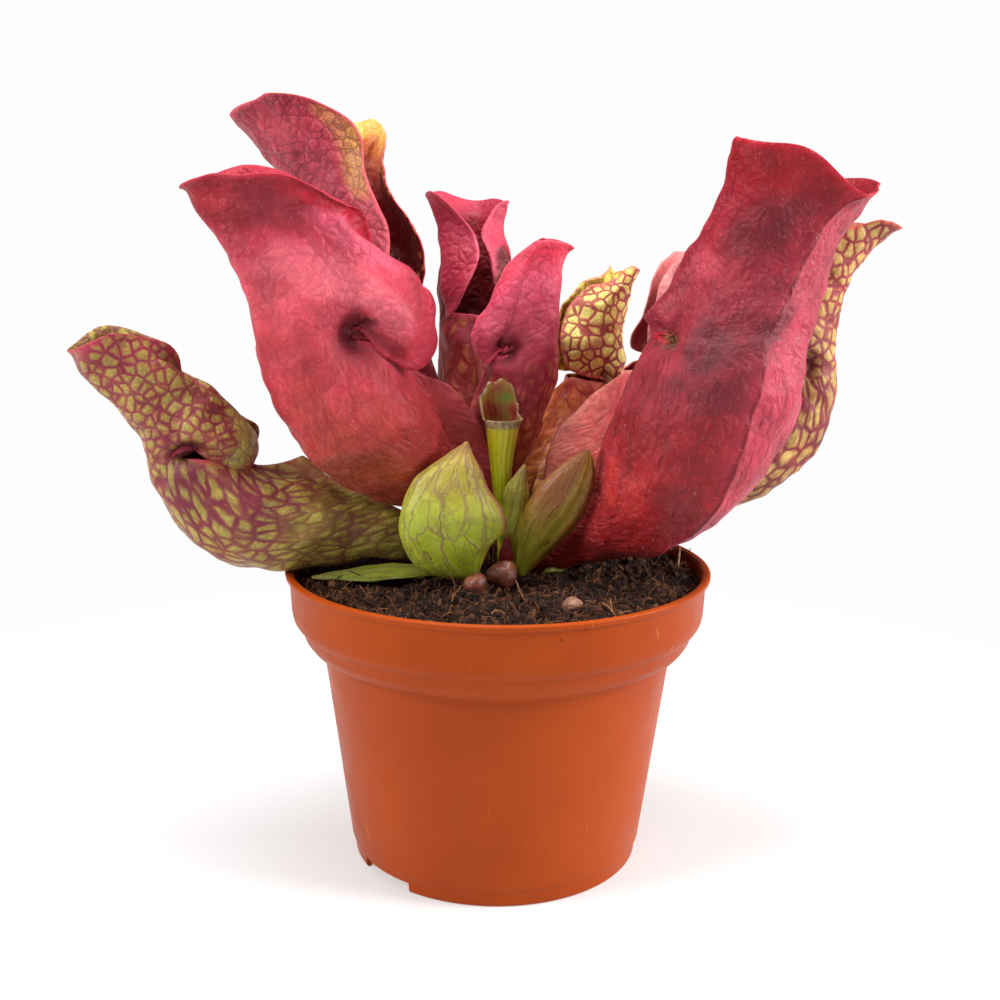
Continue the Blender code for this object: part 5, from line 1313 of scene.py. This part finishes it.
def green_leaf(name, ground, vein, pale, rim, ribs=9.0, stretch=3.2, veins=0.7, net=0.35, seam_at=0.0,
               side_shading=None):
    """Green bud tissue with purple veins that run from foot to tip and a faint net between them."""
    tree, shader, made = new_material(name)
    place = add(tree, "ShaderNodeAttribute", attribute_name="leaf_place").outputs[1]
    place = add(tree, "ShaderNodeSeparateXYZ", {0: place})
    where = add(tree, "ShaderNodeTexCoord").outputs["Object"]
    along, turn = place.outputs[0], place.outputs[1]
    bend = noise(tree, where, 150.0, 3.0)
    cloud, mottle = noise(tree, where, 80.0, 4.0), noise(tree, where, 420.0, 4.0)
    climb = maths(tree, "ADD", along, maths(tree, "MULTIPLY", maths(tree, "SUBTRACT", cloud, 0.5), 0.3))
    colour = ramp(tree, climb, ground)
    colour = mix(tree, spread(tree, mottle, 0.45, 0.75, 0.0, 0.4), colour, srgb(pale))
    swing = maths(tree, "MULTIPLY", bend, 0.9)
    across = maths(tree, "ADD", maths(tree, "MULTIPLY", turn, ribs / (2 * math.pi)), swing)
    up = maths(tree, "ADD", maths(tree, "MULTIPLY", along, stretch), swing)
    at = add(tree, "ShaderNodeCombineXYZ", {0: across, 1: up}).outputs[0]
    ribbed = add(tree, "ShaderNodeTexVoronoi", {"Vector": at, "Scale": 1.0, "Randomness": 0.75},
                 feature="DISTANCE_TO_EDGE")
    edge = maths(tree, "ADD", 0.018, maths(tree, "MULTIPLY", along, 0.03))
    rib = spread(tree, maths(tree, "DIVIDE", ribbed.outputs[0], edge), 0.3, 1.3, 0.75, 0.0)
    strand = maths(tree, "MULTIPLY_ADD", turn, ribs / (4 * math.pi))
    tree.links.new(maths(tree, "MULTIPLY", bend, 0.35), strand.node.inputs[2])
    strand = spread(tree, maths(tree, "PINGPONG", strand, 0.5), 0.005, 0.03, 1.0, 0.0)
    rib = maths(tree, "MAXIMUM", rib, strand)
    warp = add(tree, "ShaderNodeTexNoise", {"Vector": where, "Scale": 220.0, "Detail": 2.0}).outputs[1]
    bent = add(tree, "ShaderNodeMix", {0: 0.004, 4: where, 5: warp}, data_type="VECTOR").outputs[1]
    cells = add(tree, "ShaderNodeTexVoronoi", {"Vector": bent, "Scale": 330.0}, feature="DISTANCE_TO_EDGE")
    small = spread(tree, cells.outputs[0], 0.02, 0.12, 1.0, 0.0)
    patchy = spread(tree, noise(tree, where, 120.0, 3.0), 0.4, 0.62)
    tone = maths(tree, "MAXIMUM", maths(tree, "MULTIPLY", rib, veins),
                 maths(tree, "MULTIPLY", maths(tree, "MULTIPLY", small, patchy), net))
    colour = mix(tree, tone, colour, srgb(vein))
    # Painted shade: one side of the leaf is darkened as if turned from the light.
    if side_shading:
        uneven = maths(tree, "ADD", turn, maths(tree, "MULTIPLY", cloud, 0.5))
        shade = spread(tree, uneven, side_shading[1], side_shading[1] + 0.5)
        shade = maths(tree, "MULTIPLY", shade, spread(tree, along, 0.3, 0.6, 0.0, 0.85))
        colour = mix(tree, shade, colour, srgb(side_shading[0]))
    seam = maths(tree, "ABSOLUTE", maths(tree, "SUBTRACT", turn, seam_at))
    colour = mix(tree, spread(tree, seam, 0.04, 0.2, 0.8, 0.0), colour, srgb(rim))
    tree.links.new(colour, shader.inputs["Base Color"])
    tree.links.new(spread(tree, mottle, 0.2, 0.8, 0.34, 0.5), shader.inputs["Roughness"])
    shader.inputs["Subsurface Weight"].default_value = 0.15
    shader.inputs["Subsurface Radius"].default_value = (0.0012, 0.0016, 0.0004)
    shader.inputs["Subsurface Scale"].default_value = 1.0
    normal = bump(tree, maths(tree, "SUBTRACT", 1.0, rib), 0.00012)
    normal = bump(tree, noise(tree, where, 700.0, 3.0), 0.00025, normal=normal)
    tree.links.new(normal, shader.inputs["Normal"])
    return made


bud_skin = green_leaf("leaf_bud_skin", [(0.0, "998f27"), (0.15, "95a81e"), (0.5, "9fa827"),
                                        (0.75, "a49633"), (1.0, "ab7e35")],
                      "7d3c50", "c7c645", "974f39", ribs=13.0, veins=0.62, seam_at=0.12)
# The young leaf's side shading is painted shade on one side.
young_skin = green_leaf("young_leaf_skin", [(0.0, "909621"), (0.3, "949623"), (0.65, "9e8325"),
                                            (1.0, "b17e28")],
                        "824528", "c6aa3a", "722e0f", ribs=12.0, veins=0.45, net=0.3, seam_at=0.1,
                        side_shading=("7c3c16", 1.2))
stem_skin = green_leaf("stem_skin", [(0.0, "8a7a34"), (0.4, "8c9a2c"), (1.0, "868e3a")], "7e3a34", "a6a858",
                       "8a5a3a", ribs=9.0, veins=0.5, net=0.2, seam_at=-1.0)
small_skin = green_leaf("small_bud_skin", [(0.0, "a8943a"), (0.3, "aab02e"), (0.7, "a8a838"),
                                           (1.0, "a88a4a")], "82463c", "c8c060",
                        "a0503a", ribs=9.0, veins=0.45, net=0.15, seam_at=0.6)

bud = lofted("leaf_bud_body",
             [(-6.8, -18.6, 84.4), (-8.8, -20.4, 87.8), (-11.5, -22.6, 93.5), (-12.4, -24, 101),
              (-12, -24, 108.5), (-10.3, -23.8, 115), (-8.4, -23.2, 121.6)],
             [1.8, 5.5, 12.0, 13.2, 10.8, 5.8, 0.3], [1.4, 3.6, 5.4, 5.8, 5, 3.2, 0.3], bud_skin,
             seams=((0.12, 1.3, 0.1), (3.2, 0.5, 0.12), (-1.35, 0.35, 0.12)), seed=5, lump=0.22)
young = lofted("young_leaf_body",
               [(6.2, -15.3, 84.5), (6.9, -16.8, 89), (10.2, -18.5, 98), (15.5, -20, 107),
                (20.3, -21, 114.5), (23.4, -21.5, 119.9)],
               [1.1, 1.8, 4.6, 5.2, 3.3, 0.3], [1, 1.3, 2.4, 2.6, 1.8, 0.3], young_skin,
               seams=((0.1, 3.4, 0.1), (3.1, 0.4, 0.12)), seed=7, lump=0.12)
small = lofted("small_bud_body",
               [(3.2, -11.5, 85), (2.8, -12.5, 91), (3.6, -13, 99), (4.8, -13, 107), (6.9, -12.8, 113.8)],
               [1.1, 2.2, 3.3, 3.0, 0.3], [0.8, 1.1, 1.5, 1.5, 0.3], small_skin, seams=((0.1, 0.5, 0.15),),
               seed=8)
low = lofted("low_leaf_blade", [(-14, -10.6, 84.1), (-24, -14.4, 84.8), (-36, -15.8, 84.2),
                                (-50, -16.4, 83.1)],
             [1.6, 2.8, 3.0, 0.5], [0.5, 0.5, 0.5, 0.3], stem_skin, facing=(0, -0.5, 1), seed=9, lump=0.25)
scrap = lofted("leaf_scrap", [(12.5, -9.6, 83.4), (15, -10, 84.6), (18, -9.8, 84)], [0.4, 1.5, 0.3],
               [0.3, 0.5, 0.3], stem_skin, facing=(0, -0.4, 1), rows=20, segments=24, seed=10)
for piece, node in ((bud, "leaf_bud"), (young, "young_leaf"), (small, "small_bud"), (low, "low_leaf"),
                    (scrap, "leaf_fragment")):
    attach(piece, "root")
    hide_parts(node)
print("small leaves done")


# %% [markdown]
# One old leaf was cut off. What is left is a ribbed green stalk that opens into a short cup, higher at the
# back, where a dry grey-brown flap of the old leaf still stands. It is a stack of rings: up the outside,
# over the jagged rim and down the inside.

# %% Cut leaf
def stub_finish():
    """Yellow-green stalk skin, reddish inside the cup and dry brown along the torn rim."""
    tree, shader, made = new_material("cut_leaf_skin")
    place = add(tree, "ShaderNodeAttribute", attribute_name="leaf_place").outputs[1]
    place = add(tree, "ShaderNodeSeparateXYZ", {0: place})
    where = add(tree, "ShaderNodeTexCoord").outputs["Object"]
    along, turn, inside = place.outputs
    cloud, fine = noise(tree, where, 150.0, 4.0), noise(tree, where, 600.0, 4.0)
    streak = maths(tree, "PINGPONG", maths(tree, "ADD", maths(tree, "MULTIPLY", turn, 2.2), cloud), 0.5)
    colour = ramp(tree, maths(tree, "ADD", along,
                              maths(tree, "MULTIPLY", maths(tree, "SUBTRACT", cloud, 0.5), 0.4)),
                  [(0.0, "bbb51a"), (0.35, "b2bc0d"), (0.7, "c0bb12"), (0.9, "cfbb36")])
    colour = mix(tree, spread(tree, streak, 0.02, 0.16, 0.45, 0.0), colour, srgb("727e0d"))
    colour = mix(tree, spread(tree, fine, 0.5, 0.8, 0.0, 0.35), colour, srgb("f9e836"))
    hollow = ramp(tree, cloud, [(0.35, "6a7a18"), (0.5, "8e5a1c"), (0.62, "8a2c14"), (0.75, "5a1a10")])
    colour = mix(tree, inside, colour, hollow)
    torn = maths(tree, "MULTIPLY", maths(tree, "SUBTRACT", fine, 0.5), 0.08)
    dry = spread(tree, maths(tree, "ADD", along, torn), 0.84, 0.9)
    colour = mix(tree, dry, colour, ramp(tree, fine, [(0.3, "6a4a34"), (0.6, "ab9468"), (0.8, "c9b98a")]))
    tree.links.new(colour, shader.inputs["Base Color"])
    shader.inputs["Roughness"].default_value = 0.42
    shader.inputs["Subsurface Weight"].default_value = 0.12
    shader.inputs["Subsurface Radius"].default_value = (0.001, 0.0012, 0.0003)
    shader.inputs["Subsurface Scale"].default_value = 1.0
    normal = bump(tree, streak, 0.0003)
    tree.links.new(bump(tree, fine, 0.0003, normal=normal), shader.inputs["Normal"])
    return made


SEGMENTS = 72
turns = 2 * math.pi * np.arange(SEGMENTS) / SEGMENTS
jag = 0.5 * np.sin(turns * 5 + 1) + 0.35 * np.sin(turns * 11 + 2)
rim = 125.6 + 10.2 * np.clip(np.sin(turns - 0.25), 0, 1) ** 0.9 + jag * np.clip(np.sin(turns) + 0.6, 0, 1)
spine = [(2.4, -7.9, 82), (1.6, -8, 92), (0.9, -8, 104), (0.6, -8, 114), (0.8, -8, 122)]
widths = [2.2, 1.9, 2.3, 3.2, 4.3]
rings, places = [], []
for level in np.linspace(0, 1, 40):
    x, y, z = smooth(spine, [level])[0]
    r = smooth(widths, [level])[0, 0]
    rings.append(np.column_stack([x + r * np.cos(turns), y + r * np.sin(turns), np.full(SEGMENTS, z)]))
    places.append(np.column_stack([np.full(SEGMENTS, level * 0.8), turns, np.zeros(SEGMENTS)]))
for step in np.linspace(0.1, 1, 10):
    r = 4.3 + 0.8 * step - 0.9 * step**2 * (np.sin(turns) > 0.3)
    z = 122 + (rim - 122) * step
    fan = 1 + 0.5 * np.clip((z - 124) / 12, 0, 1)
    rings.append(np.column_stack([0.8 + r * fan * np.cos(turns), -8 + r * np.sin(turns), z]))
    places.append(np.column_stack([np.full(SEGMENTS, 0.8 + 0.2 * step), turns, np.zeros(SEGMENTS)]))
for step in np.linspace(1, 0, 12):
    r = 4.3 + 0.8 * step - 0.9 * step**2 * (np.sin(turns) > 0.3) - 0.55
    z = 112 + (rim - 112) * step
    r = r - 1.2 * (1 - step)
    fan = 1 + 0.5 * np.clip((z - 124) / 12, 0, 1)
    rings.append(np.column_stack([0.8 + r * fan * np.cos(turns), -8 + r * np.sin(turns), z - 0.05 * step]))
    places.append(np.column_stack([np.full(SEGMENTS, 0.6 + 0.25 * step), turns, np.ones(SEGMENTS)]))
grid = np.arange(len(rings) * SEGMENTS).reshape(len(rings), SEGMENTS)
nxt = np.roll(grid, -1, axis=1)
faces = np.stack([grid[:-1], nxt[:-1], nxt[1:], grid[1:]], -1).reshape(-1, 4).tolist()
faces += [grid[0][::-1].tolist(), grid[-1].tolist()]
stub = make_object("cut_leaf_cup", np.vstack(rings), faces, stub_finish(),
                   {"leaf_place": np.vstack(places)})
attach(stub, "root")
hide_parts("cut_leaf")
print("cut leaf", len(faces), "faces")


# %% [markdown]
# The crown is a short rhizome whose knobs show between the leaf feet. They and the bits that lie on the
# peat, a bark flake, a twig and a small red scale leaf, are short lofted lumps with a brown finish each.

# %% Crown and litter
def brown_skin(name, colours, rough, relief_depth=0.0004, size=260.0):
    """A rough natural skin whose colours follow spots of one size."""
    tree, shader, made = new_material(name)
    where = add(tree, "ShaderNodeTexCoord").outputs["Object"]
    spots = noise(tree, where, size, 5.0, 0.6)
    tree.links.new(ramp(tree, spots, colours), shader.inputs["Base Color"])
    shader.inputs["Roughness"].default_value = rough
    tree.links.new(bump(tree, noise(tree, where, size * 3, 4.0), relief_depth), shader.inputs["Normal"])
    return made


knob_skin = brown_skin("rhizome", [(0.3, "4e2016"), (0.5, "78402e"), (0.68, "92543e"), (0.8, "aa6e54")],
                       0.34)
KNOBS = (("rhizome_knob_left", (-6.0, -25.7, 84.6), 3.4), ("rhizome_knob_right", (1.5, -19.0, 85.6), 4.2))
for node, centre, radius in KNOBS:
    heights = [-1.0, -0.8, -0.4, 0.0, 0.45, 0.8, 1.0]
    widths = [0.5, 0.75, 0.95, 1.0, 0.88, 0.55, 0.05]
    path = [(centre[0], centre[1], centre[2] + h * radius * 0.8) for h in heights]
    knob = lofted(node + "_skin", path, [radius * w for w in widths], [radius * w * 0.9 for w in widths],
                  knob_skin, lump=0.5, seed=31, segments=48, rows=40)
    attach(knob, "root")
    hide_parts(node)

scale_skin = brown_skin("crown_scale_skin", [(0.3, "4a0c0e"), (0.6, "8a1c22"), (0.8, "a84440")], 0.4)
scale = lofted("crown_scale_leaf", [(1.9, -14.0, 85.6), (2.0, -14.9, 89.8), (2.6, -15.5, 94.8)],
               [1.6, 1.9, 0.3], [0.7, 0.8, 0.3], scale_skin, rows=30, segments=32, seed=33)
bark_skin = brown_skin("bark", [(0.3, "4a2c1e"), (0.55, "7c5442"), (0.75, "a37a62")], 0.85, 0.0008, 180.0)
bark = lofted("bark_flake", [(16.4, -37, 82.0), (18.6, -38, 83.4), (21.4, -39.2, 83.0)], [1.4, 2.4, 1.0],
              [0.6, 1.0, 0.6], bark_skin, facing=(0, -0.6, 1), rows=24, segments=28, lump=0.5, seed=35)
twig_skin = brown_skin("dry_twig", [(0.3, "6a4a30"), (0.6, "a08058"), (0.8, "c8b088")], 0.8, 0.0006, 400.0)
twig = lofted("twig_bit", [(51, 6, 80.6), (51.6, 6.2, 84), (51.8, 6, 87)], [0.6, 0.5, 0.35],
              [0.6, 0.5, 0.35], twig_skin, rows=24, segments=20, lump=0.1, seed=37)
LITTER = ((scale, "crown_scale", "scale_red"), (bark, "bark_chip", "bark"), (twig, "twig", "dry_twig"))
for piece, node, finish_slot in LITTER:
    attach(piece, "root")
    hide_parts(node)
print("crown done")


# %% [markdown]
# The two ripest pitchers are downy. Short stiff hairs stand on their outside, thinly spread, and golden
# ones line the mouth corner of the large crimson leaf, which is the last of the two in the list.

# %% Down
def down_material(name, colour):
    _, shader, made = new_material(name)
    shader.inputs["Base Color"].default_value = srgb(colour)
    shader.inputs["Roughness"].default_value = 0.5
    return made


DOWN_SHARES = {"pitcher_left_large": 0.35, "pitcher_right_large": 0.35}
down, golden = down_material("leaf_down", "dba8a4"), down_material("mouth_hair", "c9a765")
for name, share in DOWN_SHARES.items():
    leaf, look = LEAVES[name], LOOKS[name]
    vertices, faces, stored = pitcher_body(FORMS[leaf["form"]], look)
    vertices = placed(vertices, leaf, PUSHES[name])
    outside = (stored["leaf_uv"][:, 2] < 0.5) & (stored["leaf_place"][:, 0] > 0.12)
    turned_away = bell(stored["leaf_column"] - 0.55, 0.3)
    growth = outside * (0.35 + 0.65 * turned_away)
    scatter(f"leaf_down_{name[8:]}", vertices, faces, growth, STRANDS, down,
            Density=9e5 * share, Length=0.0008, Thickness=0.000022, Curl=0.3, Lean=0.8, Steps=2, Seed=41)
mouth = (stored["leaf_pit_shade"] > 0.35) * (stored["leaf_column"] < 0) * 1.0
scatter("leaf_mouth_hair", vertices, faces, mouth, STRANDS, golden,
        Density=1.6e6, Length=0.0016, Thickness=0.00003, Curl=0.5, Lean=1.0, Steps=3, Seed=43)


# %% [markdown]
# A plain white sweep with soft light from both sides and above. The floor takes the contact shadow close to
# the pot and turns into an even white further out, so that no horizon shows.

# %% Studio
WHITE = (1, 1, 1, 1)
SEEN_WHITE, ROOM_LIGHT = 0.985, 0.13


def floor_white():
    """A matt floor near the pot that fades into an even glow further out."""
    tree, shader, made = new_material("floor_white")
    where = add(tree, "ShaderNodeTexCoord").outputs["Object"]
    reach = add(tree, "ShaderNodeVectorMath", {0: where}, operation="LENGTH").outputs["Value"]
    shader.inputs["Base Color"].default_value = (0.86, 0.86, 0.86, 1)
    shader.inputs["Roughness"].default_value = 0.9
    shader.inputs["Specular IOR Level"].default_value = 0.0
    glow = add(tree, "ShaderNodeEmission", {"Color": WHITE, "Strength": SEEN_WHITE})
    far = spread(tree, reach, 0.05, 0.3, 0.35, 1.0)
    both = add(tree, "ShaderNodeMixShader", {0: far, 1: shader.outputs[0], 2: glow.outputs[0]})
    tree.links.new(both.outputs[0], tree.nodes["Material Output"].inputs["Surface"])
    return made


floor_mesh = bpy.data.meshes.new("floor")
floor_mesh.from_pydata([(-4, -4, 0), (4, -4, 0), (4, 4, 0), (-4, 4, 0)], [], [[0, 1, 2, 3]])
floor_mesh.materials.append(floor_white())
floor = bpy.data.objects.new("floor", floor_mesh)
bpy.context.scene.collection.objects.link(floor)
floor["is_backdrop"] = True

scene = bpy.context.scene
scene.view_settings.view_transform = "Standard"
world = bpy.data.worlds.new("studio")
world.use_nodes = True
scene.world = world
air = world.node_tree
seen = add(air, "ShaderNodeLightPath").outputs["Is Camera Ray"]
strength = add(air, "ShaderNodeMix", {0: seen, 2: ROOM_LIGHT, 3: SEEN_WHITE}, data_type="FLOAT").outputs[0]
air.nodes["Background"].inputs[0].default_value = WHITE
air.links.new(strength, air.nodes["Background"].inputs[1])


def softbox(name, place, aim, size, power, tint="ffffff"):
    """A square area light at a place in metres, turned towards a point."""
    lamp = bpy.data.lights.new(name, "AREA")
    lamp.shape, lamp.size, lamp.energy = "SQUARE", size, power
    lamp.color = srgb(tint)[:3]
    made = bpy.data.objects.new(name, lamp)
    made.location = place
    made.rotation_euler = (Vector(aim) - Vector(place)).to_track_quat("-Z", "Y").to_euler()
    scene.collection.objects.link(made)


softbox("left_box", (-0.75, -0.35, 0.5), (0, 0, 0.1), 0.45, 6.9)
softbox("right_box", (0.8, -0.15, 0.45), (0, 0, 0.1), 0.45, 12.6)
softbox("top_box", (-0.1, 0.0, 0.95), (0, 0, 0.1), 0.5, 8.0)
softbox("front_box", (-0.25, -0.8, 0.75), (0, 0, 0.1), 0.4, 1.6)


# %% [markdown]
# The camera stands 35 cm in front of the pot's axis and looks slightly down on it, with a normal lens.

# %% Camera
EYE = (0.381, -350.0, 175.78)
LOOK_DOWN, ROLL = 0.209, 0.011
eye = (POT_AXIS + np.array(EYE)) * MM
lens = bpy.data.cameras.new("view")
lens.sensor_width, lens.lens, lens.clip_start = 36.0, 46.2, 0.01
view = bpy.data.objects.new("view", lens)
scene.collection.objects.link(view)
tilt = Matrix.Rotation(math.pi / 2 - LOOK_DOWN, 4, "X") @ Matrix.Rotation(ROLL, 4, "Z")
view.matrix_world = Matrix.Translation(Vector(eye)) @ tilt
scene.camera = view
print("camera", round(lens.lens, 1), "mm lens,", round(math.degrees(LOOK_DOWN), 1), "degrees down")


# %% [markdown]
# The bounds of everything shown, without the floor, are measured.

# %% Finish
low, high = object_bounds()
